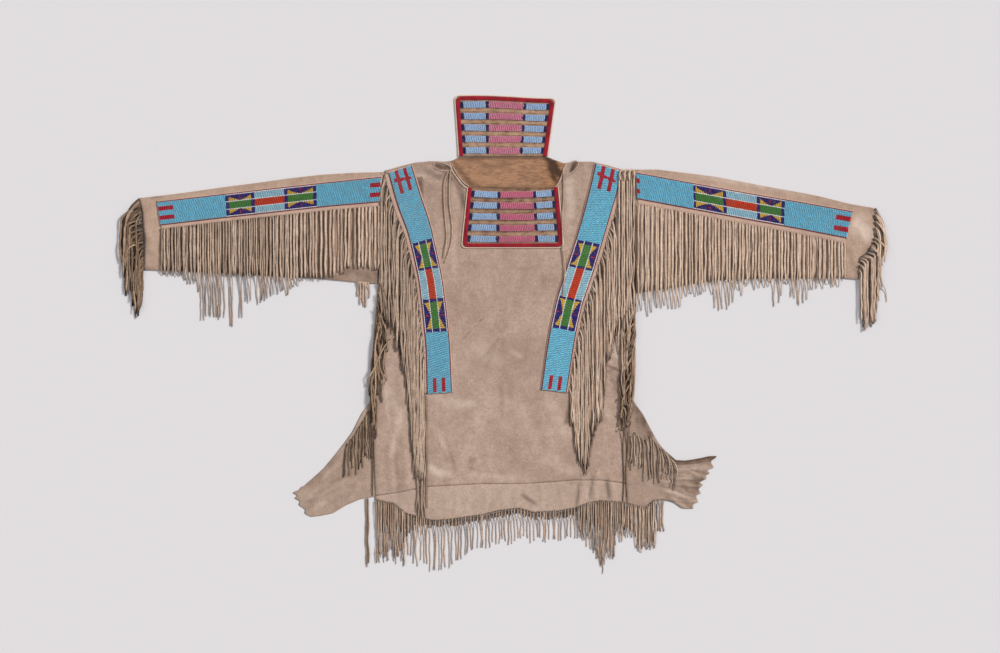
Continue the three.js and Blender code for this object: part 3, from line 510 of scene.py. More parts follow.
def front_height(x, y):
    """Upper side of the front: it lies on the back, is puffed away from its seams, and has its creases."""
    inside = np.minimum.reduce([-past_front(x, y), reading(front_top, x) - y, y - reading(hem_edge, x)])
    puff = PUFF * ease((inside - 4) / 60)
    return HIDE + SEAM + HIDE + puff + np.maximum(creases(x, y, front_creases), -0.8 * puff)


# How far the fringe of the shoulder strips hangs: x, y of its tips. The hide under it is darkened with
# painted shade.
shoulder_ends = {
    "left": np.array([
        [-258, 40], [-243, 20], [-238, 30], [-226, -16], [-217, -59], [-208, -89], [-201, -152], [-197, -182],
        [-191, -257], [-185, -302], [-177, -310], [-160, -306]]),
    "right": np.array([
        [143, -188], [151, -197], [162, -262], [173, -289], [181, -300], [188, -270], [197, -227],
        [207, -190], [216, -182], [226, -60], [235, -46], [244, 3], [262, 20]])}
# Smudges and places of wear on the front: x1, y1, x2, y2, width, amount. Among the smudges are painted shade
# in a trough of the lower left front, in the hem gathers, in the neck slits and in the crease of the fold at
# the right side, and painted shadows beside the neck flap's left edge and under that fold; among the places
# of wear is a painted highlight on that fold's bulge.
smudges_and_shade = [
    [-66, 92, -40, 40, 14, 0.16], [86, 132, 96, 96, 16, 0.2], [-20, 110, -14, 60, 12, 0.12],
    [-84, -10, -36, 42, 1.6, 0.5], [-12, 25, -11, 17, 2.0, 0.8], [4, 70, -30, -80, 22, 0.16],
    [60, 20, 40, -60, 16, 0.12], [-2, -106, 4, -172, 8, 0.26], [16, -90, 26, -140, 12, 0.12],
    [-120, -222, -96, -296, 7, 0.3], [-66, -262, -60, -290, 15, 0.34], [-134, 6, -128, -40, 5, 0.1],
    [-96, 154, -40, 150, 8, 0.14], [20, 140, 88, 150, 8, 0.12], [70, -150, 96, -250, 18, 0.12],
    [10, -230, 40, -290, 16, 0.1], [-30, -180, -10, -216, 14, 0.12], [110, -70, 122, -120, 6, 0.12],
    [225, -62, 262, -80, 6, 0.9], [-226, -225, -222, -345, 9, 0.34], [-140, -200, -132, -240, 4, 0.3],
    [166, -318, 162, -366, 5, 0.5], [194, -312, 190, -350, 5, 0.45], [228, -312, 230, -350, 6, 0.6],
    [44, -340, 76, -366, 8, 0.5], [-176, -322, -160, -350, 5, 0.2], [268, -200, 270, -380, 3, 0.6],
    [-240, 300, -226, 200, 10, 0.15], [-118, 368, -100, 352, 9, 0.6], [148, 352, 160, 370, 7, 1.4],
    [-142, 366, -114, 360, 7, 1.3], [36, 300, 60, 180, 3, 0.2], [-8, -30, 6, -36, 3, 0.3],
    [-102, 346, -80, 276, 11, 0.55], [-82, 318, -92, 196, 5, 0.35], [238, -88, 250, -128, 9, 0.4],
    [216, -72, 238, -78, 3, 0.9], [-128, 300, -124, 190, 5, 0.2], [-164, 352, -124, 340, 12, 0.5],
    [-124, 356, -108, 330, 8, 0.4]]
scuffs_and_highlights = [
    [-140, -136, -60, -150, 16, 0.5], [-160, -284, -112, -300, 14, 0.7], [-150, -190, -120, -240, 12, 0.4],
    [20, -36, 48, -44, 10, 0.3], [40, -44, 42, -46, 3, 1.0], [100, -140, 140, -220, 20, 0.3],
    [90, -262, 150, -290, 16, 0.35], [-60, -300, 40, -306, 10, 0.3], [208, -130, 236, -180, 14, 0.35],
    [232, 20, 250, -40, 8, 0.5], [-110, 250, -100, 130, 10, 0.25], [140, 250, 160, 300, 14, 0.25],
    [-212, -160, -240, -260, 12, 0.4], [-252, -80, -240, -200, 8, 0.4], [184, -330, 186, -350, 6, 0.5],
    [-200, 330, -150, 350, 12, 0.3], [206, 330, 240, 300, 12, 0.3], [232, -26, 250, -50, 13, 0.6],
    [150, 340, 142, 256, 18, 0.55], [-60, -20, 10, -60, 24, 0.2], [-20, -130, 60, -170, 22, 0.2],
    [-246, -60, -226, -160, 14, 0.3]]
# Painted shadows beside the neck ties: x1, y1, x2, y2, width, amount.
tie_shades = [[-106, 366, -80, 320, 12, 1], [-118, 350, -112, 250, 9, 0.5], [134, 360, 131, 280, 8, 0.4]]

shirt_finish = hide_material("buckskin_front", (196, 169, 152), (152, 126, 110), dirt_and_shade=(76, 57, 44),
                             cloudiness=0.8, nap=0.6, flecks=1.0)
across = np.linspace(0, 1, 147)
x, y = hide_points(front_sides, front_top, hem_seam, across, np.linspace(0, 1, 189))
z = front_height(x, y)
near_top = ease((y - (reading(front_top, x) - 26)) / 26)
near_side = ease((14 + past_front(x, y)) / 14)
# Painted shade on the hide under the shoulder fringe (hung), a painted shadow just below the stepped tips of
# the left shoulder fringe (beneath), and painted shadows beside the neck ties.
hung = ease((y - reading(shoulder_ends["left"], x) + 5) / 8) * ease((-166 - x) / 6) * ease((x + 262) / 6)
hung = hung + ease((y - reading(shoulder_ends["right"], x) + 5) / 8) * ease((x - 146 - 0.2 * (y + 117)) / 6)
stepped = reading(shoulder_ends["left"], np.round(x / 4.6) * 4.6)
beneath = np.exp(-((y - stepped + 3) / 4.5) ** 2) * ease((-188 - x) / 6) * ease((x + 250) / 6)
soil_and_shade = 0.14 * near_top + 0.26 * near_side + 0.74 * np.clip(hung, 0, 1) * (y < 340) + 0.75 * beneath
soil_and_shade = soil_and_shade + 0.3 * np.clip(creases(x, y, tie_shades), 0, 1)
soil_and_shade = np.clip(soil_and_shade + creases(x, y, smudges_and_shade), 0, 1)
lay(x, y, z, hides, everything)
front = skin("front_hide", x, y, z, shirt_finish,
             marks={"soil_and_shade": soil_and_shade, "rubbed_and_highlit": np.clip(creases(x, y, scuffs_and_highlights), 0, 1)})
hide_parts("front_panel")


def tube_faces(count, rings, around):
    """Faces of so many tubes: quads from ring to ring, and a cap on each end."""
    base = (np.arange(count) * rings * around)[:, None, None]
    ring = (np.arange(rings - 1) * around)[None, :, None]
    k = np.arange(around)
    a, b = base + ring + k, base + ring + (k + 1) % around
    sides = np.stack([a, a + around, b + around, b], -1).reshape(-1, 4)
    first = base[:, 0] + k
    last = base[:, 0] + (rings - 1) * around + k[::-1]
    return [sides, np.concatenate([first, last])]


def carried(path, profile):
    """A closed outline carried along a path. Each of its points (side, up) goes so far to the right of the
    path and so far above it; both ends are closed."""
    path, profile = np.asarray(path, float), np.asarray(profile, float)
    ahead = np.gradient(path, axis=0)
    ahead /= np.linalg.norm(ahead, axis=1, keepdims=True)
    right = np.cross(ahead, [0, 0, 1.0])
    right /= np.linalg.norm(right, axis=1, keepdims=True)
    above = np.cross(right, ahead)
    rings = path[:, None] + right[:, None] * profile[:, :1] + above[:, None] * profile[:, 1:]
    return rings.reshape(-1, 3), tube_faces(1, len(path), profile.shape[0])


def rounded(width, height, around=8):
    """An oval outline, width by height."""
    turn = 2 * np.pi * np.arange(around) / around
    return np.column_stack([np.cos(turn) * width / 2, np.sin(turn) * height / 2])


def smoothed(points, count):
    """A smooth line through points: each stretch is a cubic that keeps the slope of the points beside it."""
    points = np.asarray(points, float)
    slope = np.gradient(points, axis=0)
    at = np.linspace(0, len(points) - 1, count)
    i = np.minimum(at.astype(int), len(points) - 2)
    t = (at - i)[:, None]
    return ((2 * t**3 - 3 * t**2 + 1) * points[i] + (t**3 - 2 * t**2 + t) * slope[i]
            + (3 * t**2 - 2 * t**3) * points[i + 1] + (t**3 - t**2) * slope[i + 1])


# The neck's front edge and the two short openings on the shoulders are turned over into rolled lips.
rolls = {
    "neck_roll": ([[-112, 368], [-105, 352], [-95, 338], [-84, 324], [-72, 317], [-46, 313], [18, 310],
                   [83, 313], [112, 317], [122, 326], [130, 343], [134, 358], [140, 368]], 4.6),
    "neck_cord": ([[-104, 362], [-97, 350], [-89, 338], [-80, 328], [-70, 321]], 2.8),
    "slit_lip_left_upper": ([[-106, 362], [-118, 368], [-130, 372], [-142, 373], [-148, 368]], 3.4),
    "slit_lip_left_lower": ([[-110, 355], [-122, 354], [-134, 356], [-144, 361]], 2.6),
    "slit_lip_right_upper": ([[130, 348], [137, 360], [147, 370], [157, 375], [165, 372], [164, 365]], 3.2),
    "slit_lip_right_lower": ([[134, 340], [144, 345], [153, 352], [161, 360], [165, 367]], 3.2)}
for name, (route, broad) in rolls.items():
    line = smoothed(route, 12 * len(route))
    z = np.maximum(resting(line[:, 0], line[:, 1], hides, 1), 3.4) + 0.4
    for _ in range(12):
        z[1:-1] = (z[:-2] + 2 * z[1:-1] + z[2:]) / 4
    points, faces = carried(np.column_stack([line, z]), rounded(broad, 2.6, 8))
    # Round each roll the sides and the underside are darkened with painted shade, and the top is paler with a
    # painted highlight.
    grime_and_shade = np.tile([0.5, 0.1, 0.0, 0.0, 0.45, 0.7, 0.7, 0.7], len(line))
    roll = make_piece(name, points, faces, shirt_finish, {"soil_and_shade": grime_and_shade, "rubbed_and_highlit": 0.35 * (grime_and_shade < 0.05)})
    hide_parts("front_panel")

hem_finish = hide_material("buckskin_hem", (198, 173, 156), (158, 133, 116), dirt_and_shade=(62, 47, 38),
                           cloudiness=0.6, nap=0.5, flecks=0.8)
x, y = hide_points(front_sides, hem_seam, hem_edge, across, np.linspace(0, 1, 31), gap=0.4)
z = front_height(x, y) - 0.5 * ease((y - reading(hem_seam, x) + 8) / 8)
soil_and_shade = 0.15 * near_side[:, :1] + 0.42 * ease((reading(hem_edge, x) + 3.5 - y) / 4) + creases(x, y, smudges_and_shade)
lay(x, y, z, hides, everything)
hem = skin("hem_band_hide", x, y, z, hem_finish,
           marks={"soil_and_shade": np.clip(soil_and_shade, 0, 1), "rubbed_and_highlit": np.clip(creases(x, y, scuffs_and_highlights), 0, 1)})
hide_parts("hem_band")

# ---------------------------------------------------------------- sleeves
# Each sleeve is a hide folded along its upper edge and sewn along its lower one, pressed flat. It meets the
# body at the armhole, and its cuff is open.

SLEEVE_EDGE = 3.6  # a flattened sleeve's height at its fold and its seam
SLEEVE_CROWN = 6.4  # and along its middle
sleeves = {
    "left": dict(
        edges=np.array([  # x, upper y, lower y
            [-782, 295, 142], [-734, 300, 140], [-665, 309, 138], [-597, 319, 134], [-528, 328, 131],
            [-459, 338, 126], [-390, 346, 123], [-326, 350, 117], [-251, 352, 111]]),
        cuff=np.array([[300, -782], [266, -772], [225, -769], [209, -766], [130, -770]]), ends=(-776, -258),
        hung=np.array([[-732, 226], [-615, 242], [-497, 254], [-378, 267], [-258, 278]])),
    "right": dict(
        edges=np.array([
            [281, 357, 91], [341, 357, 99], [405, 349, 110], [459, 342, 118], [521, 330, 122],
            [582, 318, 124], [642, 307, 124], [685, 298, 124], [743, 283, 125], [804, 272, 119]]),
        cuff=np.array([[285, 798], [250, 804], [201, 800], [175, 784], [169, 773], [110, 766]]),
        ends=(285, 790), hung=np.array([[286, 280], [408, 258], [526, 236], [640, 214], [734, 196]]))}
sleeve_creases = {
    "left": [[-760, 190, -720, 160, 10, 1.4], [-745, 225, -700, 205, 9, 1.0],
             [-300, 250, -262, 190, 14, 1.4], [-340, 160, -280, 130, 12, 1.2],
             [-420, 200, -380, 150, 12, 1.0], [-560, 190, -520, 150, 12, 0.9],
             [-640, 180, -600, 146, 10, 1.0], [-480, 326, -430, 318, 8, -0.5],
             [-300, 340, -266, 346, 8, 0.8], [-700, 296, -640, 302, 7, 0.6],
             [-770, 260, -756, 200, 8, 0.9]],
    "right": [[296, 160, 320, 100, 13, 1.8], [312, 176, 344, 112, 11, -1.0], [330, 190, 352, 120, 10, 1.5],
              [300, 340, 380, 336, 9, 0.8], [420, 180, 450, 130, 12, 1.0], [560, 176, 600, 140, 12, 1.0],
              [660, 180, 690, 140, 11, 1.1], [760, 240, 790, 190, 10, 1.5], [744, 190, 770, 150, 9, 1.2],
              [770, 262, 798, 240, 8, 1.0], [440, 336, 520, 320, 8, 0.6], [600, 306, 680, 292, 8, 0.7]]}

# Stained places and places of wear on the left sleeve (-1) and the right one (1): x1, y1, x2, y2, width,
# amount. The right sleeve's pale line along its fold is a painted highlight.
sleeve_marks = {
    -1: {"stain": [[-350, 134, -262, 134, 22, 0.55], [-752, 302, -728, 300, 14, 0.4]], "pale": []},
    1: {"stain": [[292, 150, 318, 96, 20, 0.12], [300, 210, 330, 160, 18, 0.048],
                  [750, 186, 760, 134, 9, 0.3], [440, 122, 700, 128, 7, 0.25]],
        "pale": [[758, 250, 798, 208, 30, 0.8], [420, 346, 640, 306, 9, 0.5]]}}


def sleeve_skin(name, sleeve, folds, finish):
    """A flattened tube with a wall. Ring by ring from one end to the other, its points go along the upper
    side from the seam (-1) to the fold (1) and back beneath. The upper side is highest in the middle and
    falls with the square of the share across to the height of both edges; the lower side is flat."""
    out = -1 if sleeve["ends"][0] < 0 else 1
    arm = back_sides[:, [0, 1]] if out < 0 else back_sides[:, [0, 2]]
    s = np.linspace(0, 1, 107)[:, None]
    over = np.sin(np.linspace(-1, 1, 47) * np.pi / 2)
    under = np.sin(np.linspace(1, -1, 19)[1:-1] * np.pi / 2)
    share = np.concatenate([over, under])[None, :]
    top_side = np.arange(share.shape[1])[None, :] < len(over)
    rings = []
    for inset in (0.0, HIDE):
        x = sleeve["ends"][0] + (sleeve["ends"][1] - sleeve["ends"][0]) * s
        high, low = reading(sleeve["edges"], x), reading(sleeve["edges"], x, 2)
        y = (high + low) / 2 + ((high - low) / 2 - inset * 1.3) * share
        cuff, body = reading(sleeve["cuff"], y), reading(arm, y) + out * 0.6
        x = cuff + (body - cuff) * s if out < 0 else body + (cuff - body) * s
        crown = SLEEVE_CROWN + (SLEEVE_EDGE - SLEEVE_CROWN) * share**2
        wave = np.maximum(creases(x, y, folds), -1.2) * (1 - share**8)
        flat = np.abs(share) > 0.999
        z = np.where(top_side & ~flat, crown - inset + wave, inset + 0.0 * x)
        z = np.where(flat, SLEEVE_EDGE / 2 + 0.0 * x, z)
        rings.append(np.stack([x, y, z], -1))
    outer, inner = rings
    m, n = outer.shape[:2]
    at = np.arange(2 * m * n).reshape(2, m, n)
    nxt = np.roll(at, -1, 2)
    quads = [np.stack([at[0, :-1], at[0, 1:], nxt[0, 1:], nxt[0, :-1]], -1).reshape(-1, 4),
             np.stack([at[1, :-1], nxt[1, :-1], nxt[1, 1:], at[1, 1:]], -1).reshape(-1, 4),
             np.stack([at[0, 0], nxt[0, 0], nxt[1, 0], at[1, 0]], -1),
             np.stack([at[0, -1], at[1, -1], nxt[1, -1], nxt[0, -1]], -1)]
    x, y, z = np.moveaxis(outer, -1, 0)
    top = outer[:, :len(over)]
    lay(top[..., 0], top[..., 1], top[..., 2], hides, everything)
    seam = ease((-0.86 - share) / 0.12) * np.ones_like(x)
    fold = ease((share - 0.82) / 0.18) * np.ones_like(x)
    ends = ease((0.03 - s) / 0.03) + ease((s - 0.97) / 0.03)
    stain, pale = (creases(x, y, sleeve_marks[out][kind]) for kind in ("stain", "pale"))
    # Painted shade on the hide under the fringe, below the line given as hung.
    hung = ease((reading(sleeve["hung"], x) - y) / 8)
    hung = hung * (x > sleeve["hung"][0, 0]) * (x < sleeve["hung"][-1, 0])
    hung = hung * (0.55 * ease((-335 - x) / 70) + 0.14 * (x > 0)) * top_side
    soil_and_shade = np.clip(0.3 * seam + 0.1 * fold + 0.25 * ends + stain + hung, 0, 1)
    pale = np.clip(pale, 0, 1) * top_side
    marks = {"soil_and_shade": np.tile(soil_and_shade.ravel(), 2), "rubbed_and_highlit": np.tile(pale.ravel(), 2)}
    return make_piece(name, np.concatenate([outer.reshape(-1, 3), inner.reshape(-1, 3)]),
                      [q[:, ::-1] for q in quads], finish, marks)


sleeve_finish = hide_material("buckskin_sleeve", (196, 168, 148), (160, 131, 113), dirt_and_shade=(80, 60, 46),
                              cloudiness=0.7, nap=0.45, flecks=0.7, relief=1.2)
for which, sleeve in sleeves.items():
    piece = sleeve_skin(f"sleeve_hide_{which}", sleeve, sleeve_creases[which], sleeve_finish)
    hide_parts(f"sleeve_{which}")

# ---------------------------------------------------------------- beaded strips
# A strip of hide with three lanes of seed beads lies over each shoulder and along each sleeve. The beads are
# strung on sinew in short rows across the lane and stitched down at its edges. Geometric blocks in navy,
# yellow, green, white and red stand on a light-blue ground; a line of dark red cloth edges the beads.

ROW = 2.3  # from one row of beads to the next
COLUMNS = 26  # beads across a strip: white, seven, white, eight, white, seven, white
BAR = 6.4  # breadth of the navy bar at each end of a block
MARGIN = 4.6  # bare hide beside the beads
strips = {  # the two long edges: x1, y1, x2, y2
    "shoulder_strip_left": np.array([
        [-246, 350, -191, 368], [-226, 277, -171, 302], [-204, 221, -150, 240], [-193, 177, -139, 190],
        [-180, 117, -125, 125], [-172, 43, -115, 48], [-165, -27, -108, -25], [-163, -127, -104, -123]]),
    "shoulder_strip_right": np.array([
        [200, 372, 261, 354], [191, 331, 253, 313], [173, 259, 232, 244], [155, 200, 216, 188],
        [137, 145, 199, 132], [117, 82, 177, 69], [103, 19, 163, 8], [94, -36, 154, -46],
        [83, -117, 142, -124]]),
    "sleeve_strip_left": np.array([
        [-734, 234, -742, 290], [-615, 248, -620, 304], [-497, 261, -500, 318], [-378, 274, -380, 331],
        [-260, 284, -257, 344]]),
    "sleeve_strip_right": np.array([
        [290, 291, 288, 353], [408, 269, 406, 331], [526, 247, 523, 310], [640, 226, 645, 289],
        [742, 206, 757, 269]])}
blocks = {  # shares along at which the first block, the centre and the second block begin, and where it ends
    "shoulder_strip_left": (0.33, 0.458, 0.588, 0.729), "shoulder_strip_right": (0.335, 0.458, 0.588, 0.729),
    "sleeve_strip_left": (0.305, 0.433, 0.567, 0.711), "sleeve_strip_right": (0.267, 0.42, 0.565, 0.69)}
red_ends = {"sleeve_strip_left": (33, 24), "sleeve_strip_right": (9, 33)}  # length of the bars at each end
weathered = {"sleeve_strip_left": 0.92, "shoulder_strip_right": 1.12}  # how much paler the glass looks
bead_colours = {"ground": dye(118, 196, 224), "navy": dye(38, 22, 116), "yellow": dye(220, 180, 66),
                "green": dye(70, 134, 58), "red": dye(190, 10, 44), "fire": dye(208, 60, 20),
                "pale": dye(160, 204, 220), "white": dye(236, 236, 240)}


def strip_size(edges):
    """A strip's width at its first row, and its length along the middle."""
    middle = (edges[:, :2] + edges[:, 2:]) / 2
    return np.hypot(*(edges[0, 2:] - edges[0, :2])), np.hypot(*np.diff(middle, axis=0).T).sum()


def along_strip(edges, s, t):
    """x and y at a share s across a strip and a share t along it, both lengths measured evenly. Smoothed
    over a small stretch, so that the strip bends softly."""
    middle = (edges[:, :2] + edges[:, 2:]) / 2
    steps = np.concatenate([[0], np.cumsum(np.hypot(*np.diff(middle, axis=0).T))])
    steps /= steps[-1]
    total = 0
    for shift in (-0.03, -0.015, 0, 0.015, 0.03):
        reach = shift * np.minimum(1, np.minimum(t, 1 - t) / 0.03)
        x1, y1, x2, y2 = (np.interp(t + reach, steps, edges[:, k]) for k in range(4))
        total = total + np.stack([x1 + (x2 - x1) * s, y1 + (y2 - y1) * s], -1) / 5
    return total[..., 0], total[..., 1]


def strip_chart(name, column, row, length):
    """The colour of each bead: a number into the list of colours, for a column of 0 to 25 and a distance
    along in millimetres. Blocks are bars, triangles and lines worked out by counting."""
    names = list(bead_colours)
    pick = {k: names.index(k) for k in names}
    chart = np.full(np.broadcast(column, row).shape, pick["ground"])
    column, row = np.broadcast_arrays(column, row)
    a, b, c, d = (share * length for share in blocks[name])
    white = (column == 0) | (column == 8) | (column == 17) | (column == 25)
    outer = np.where(column < 8, column - 1, 24 - column)  # 0 to 6, counted in from the nearer edge
    lane = (column > 8) & (column < 17)
    for start, stop in ((a, b), (c, d)):
        within = (row >= start) & (row <= stop)
        bar = within & ((row - start < BAR) | (stop - row < BAR))
        middle, half = (start + stop) / 2, (stop - start) / 2 - BAR
        chart[within] = pick["yellow"]
        chart[within & lane] = pick["green"]
        reach = half * (1.02 - (np.maximum(outer, 0) / 6.7) ** 1.5)
        triangle = within & ~lane & (np.abs(row - middle) <= reach)
        chart[triangle] = pick["navy"]
        chart[triangle & (np.abs(row - middle) < 1.3) & (outer > 0) & (outer < 5)] = pick["red"]
        chart[bar] = pick["navy"]
    centre = (row > b) & (row < c)
    chart[centre] = pick["pale"]
    chart[centre & lane] = pick["fire"]
    chart[white & (row >= a) & (row <= d)] = pick["white"]
    on_sleeve = name.startswith("sleeve")
    broad = 1 if on_sleeve else 0
    two = ((column >= 6 - broad) & (column <= 9)) | ((column >= 16) & (column <= 19 + broad))
    if on_sleeve:
        first, last = red_ends[name]
        chart[two & ((row < first) | (row > length - last)) & (row > 2) & (row < length - 2)] = pick["red"]
    else:
        chart[two & (row > 1) & (row < 53)] = pick["red"]
        chart[(column >= 3) & (column <= 22) & (np.abs(row - 24 - 0.3 * (column - 12)) < 3.2)] = pick["red"]
        chart[two & (row > length - 33) & (row < length - 4)] = pick["red"]
    return chart


def facing_up(x, y, *more):
    """Grids over x and y, with their first axis turned round where the surface would face down."""
    turn = (x[1, 0] - x[0, 0]) * (y[0, 1] - y[0, 0]) - (y[1, 0] - y[0, 0]) * (x[0, 1] - x[0, 0])
    return [grid[::-1] if turn < 0 else grid for grid in (x, y, *more)]


def bead_barrels(name, centres, axis, long, wide, colours, finish):
    """Beads as short barrels of five sides: two rings about the line of the thread, closed at both ends.
    Every bead is its middle, its thread's direction, its length, its width and its colour."""
    count = len(centres)
    axis = axis / np.linalg.norm(axis, axis=1, keepdims=True)
    aside = np.cross(axis, [0.0, 0.0, 1.0])
    aside /= np.linalg.norm(aside, axis=1, keepdims=True)
    rise = np.cross(aside, axis)
    turn = np.pi / 2 + 2 * np.pi * np.arange(5) / 5
    ring = aside[:, None] * np.cos(turn)[None, :, None] + rise[:, None] * np.sin(turn)[None, :, None]
    ring = ring * (wide / 2)[:, None, None]
    ends = axis * (long * 0.42)[:, None]
    points = np.concatenate([(centres - ends)[:, None] + ring, (centres + ends)[:, None] + ring], axis=1)
    base = (np.arange(count) * 10)[:, None, None]
    k = np.arange(5)
    quad = np.stack([k, k + 5, (k + 1) % 5 + 5, (k + 1) % 5], -1)[None] + base
    caps = np.concatenate([k[None] + base[:, 0], k[::-1][None] + 5 + base[:, 0]])
    return make_piece(name, points, [quad.reshape(-1, 4), caps], finish,
                      {"bead": np.repeat(colours, 10, axis=0)})


def bead_material(name, roughness):
    """Glass beads: the colour kept on each bead, slightly uneven, under a clear gloss with a little dust."""
    finish, tree, shader = bare_material(name, roughness)
    shader.inputs["Specular IOR Level"].default_value = 0.5
    shader.inputs["Coat Weight"].default_value = 0.15
    shader.inputs["Coat Roughness"].default_value = 0.15
    place = own_place(tree)
    dust = ramped(tree, noise(tree, place, 60.0, 4.0), 0.5, 0.75, 0.0, 0.1)
    tree.links.new(mixed(tree, marked(tree, "bead", True), dye(176, 160, 142), dust),
                   shader.inputs["Base Color"])
    tree.links.new(ramped(tree, noise(tree, place, 900.0, 2.0), 0.3, 0.7, roughness - 0.08, roughness + 0.12),
                   shader.inputs["Roughness"])
    return finish


strip_beads = bead_material("strip_beads", 0.3)
margin_finish = hide_material("strip_hide", (206, 174, 156), (168, 136, 118), cloudiness=0.6, flecks=0.5)
edging_finish, tree, shader = bare_material("edge_cloth", 0.9, sheen=0.3)
place = own_place(tree)
faded = ramped(tree, noise(tree, place, 120.0), 0.35, 0.7)
tree.links.new(mixed(tree, dye(142, 44, 58), dye(84, 30, 42), faded), shader.inputs["Base Color"])
bumped(tree, shader, noise(tree, place, 700.0), 0.5)
rng = np.random.default_rng(7)
for name, edges in strips.items():
    width, length = strip_size(edges)
    s, t = np.meshgrid(np.linspace(0, 1, 19), np.linspace(0, 1, 101), indexing="ij")
    x, y, s = facing_up(*along_strip(edges, s, t), s)
    base = resting(x, y, hides, 3)
    for _ in range(3):
        base[1:-1, 1:-1] = np.maximum(base[1:-1, 1:-1], (base[:-2, 1:-1] + base[2:, 1:-1] + base[1:-1, :-2]
                                                         + base[1:-1, 2:]) / 4)
    z = base + SEAM + HIDE
    lay(x, y, z + 2.1, everything)
    strip = skin(name.replace("strip", "strip_hide"), x, y, z, margin_finish,
                 marks={"soil_and_shade": 0.12 * ease((0.04 - np.minimum(s, 1 - s)) / 0.04)})
    margin = MARGIN / width
    column = np.arange(COLUMNS)[:, None]
    rows = int((length - 3) / ROW)
    row = (np.arange(rows)[None, :] + 0.5) * (length - 3) / rows + 1.5
    wobble = 0.28 * np.sin(row * 0.19 + column * 0.4) + rng.normal(0, 0.12, (COLUMNS, rows))
    s = margin + (1 - 2 * margin) * (column + 0.5 + rng.normal(0, 0.04, (COLUMNS, rows))) / COLUMNS
    t = np.clip((row + wobble) / length, 0.002, 0.998)
    x, y = along_strip(edges, s, t)
    lane_share = np.where(column < 9, (column + 0.5) / 9, np.where(column < 17, (column - 8.5) / 8,
                                                                   (column - 16.5) / 9))
    hump = 0.55 * (1 - (2 * np.clip(lane_share, 0, 1) - 1) ** 2)
    z = bridged(resting(x, y, hides, 3) + SEAM + HIDE + 0.95 + hump, 4)
    # Rows lie higher and lower in a slanting rhythm; the same rhythm tints the beads lighter and darker, a
    # painted glint and painted shade.
    pull_and_glint = np.sin(2 * np.pi * (row / 5.1 + column * 0.11 + 0.12 * np.sin(row * 0.05)))
    z = z + 0.22 * pull_and_glint
    x2, y2 = along_strip(edges, s + 0.01, t)
    axis = np.stack([x2 - x, y2 - y, 0 * x], -1).reshape(-1, 3)
    chart = strip_chart(name, column, row, length)
    tints = np.array(list(bead_colours.values()))[chart.ravel()]
    tints = weathered.get(name, 1.0) * tints * (1 + 0.3 * pull_and_glint.ravel()[:, None])
    tints = np.clip(tints * rng.normal(1, 0.08, (len(tints), 1)), 0, 1)
    long = rng.normal((width - 2 * MARGIN) / COLUMNS * 0.98, 0.07, x.size)
    wide = rng.normal(2.12, 0.08, x.size)
    beads = bead_barrels(f"{name}_beads", np.stack([x, y, z], -1).reshape(-1, 3), axis, long, wide, tints,
                         strip_beads)
    trims = []
    for edge_share in (margin - 1.3 / width, 1 - margin + 1.3 / width):
        t = np.linspace(0.002, 0.998, 120)
        x, y = along_strip(edges, edge_share * np.ones_like(t), t)
        z = resting(x, y, hides, 3) + SEAM + HIDE + 0.5
        trims.append(carried(np.column_stack([x, y, z]), rounded(1.9, 1.4, 6)))
    points = np.concatenate([p for p, _ in trims])
    faces = [np.concatenate([f[k] + i * len(trims[0][0]) for i, (_, f) in enumerate(trims)]) for k in (0, 1)]
    edging = make_piece(f"{name}_edging", points, faces, edging_finish)
    for piece in (strip, beads, edging):
        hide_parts(name)

# ---------------------------------------------------------------- neck flaps
# A beaded flap hangs at the front of the neck, and another at the back is turned up. Each is hide with five
# rows of beads in blue, pink and navy, bound on three sides with a broad strip of red wool cloth.

FLAP_LENGTH = 129.0
FIRST_ROW, ROW_PITCH, ROW_HEIGHT = 5.5, 24.6, 13.7  # the rows of beads, down from the neck
flap_colours = np.array([dye(34, 26, 84), dye(168, 196, 234), dye(218, 134, 160)])  # navy, blue, pink
flap_waves = [  # x1, y1, x2, y2, width, rise
    [-60, 240, 90, 236, 12, 0.8], [-40, 276, 100, 280, 10, 0.6], [0, 210, 70, 214, 9, 0.5],
    [-50, 428, 80, 432, 12, 0.7], [-20, 470, 90, 464, 10, 0.6], [20, 402, 30, 500, 22, 0.5]]
neck_flaps = {  # left and right corners at the neck, then at the free end
    "neck_flap_front": np.array([[-72, 318.5], [121, 320], [-85, 189.5], [133, 190]], float),
    "neck_flap_back": np.array([[-91, 385.6], [98, 385.6], [-100, 514], [115, 511]], float)}
flap_finish = hide_material("flap_hide", (208, 172, 142), (152, 116, 90), dirt_and_shade=(66, 44, 32), cloudiness=0.8,
                            nap=0.7, flecks=1.0, relief=1.6)
wool, tree, shader = bare_material("red_wool", 0.95, sheen=0.25)
place = own_place(tree)
patchy = ramped(tree, noise(tree, place, 55.0, 5.0), 0.4, 0.72)
lint = ramped(tree, noise(tree, place, 260.0), 0.6, 0.76, 0.0, 0.5)
red = mixed(tree, dye(158, 22, 40), dye(112, 14, 30), patchy)
tree.links.new(mixed(tree, red, dye(186, 80, 78), lint), shader.inputs["Base Color"])
bumped(tree, shader, noise(tree, place, 900.0, 5.0, 0.7), 0.8)
flap_beads = bead_material("flap_beads", 0.3)
selvage = hide_material("selvage_hide", (228, 206, 182), (196, 168, 144), cloudiness=0.4, flecks=0.2)


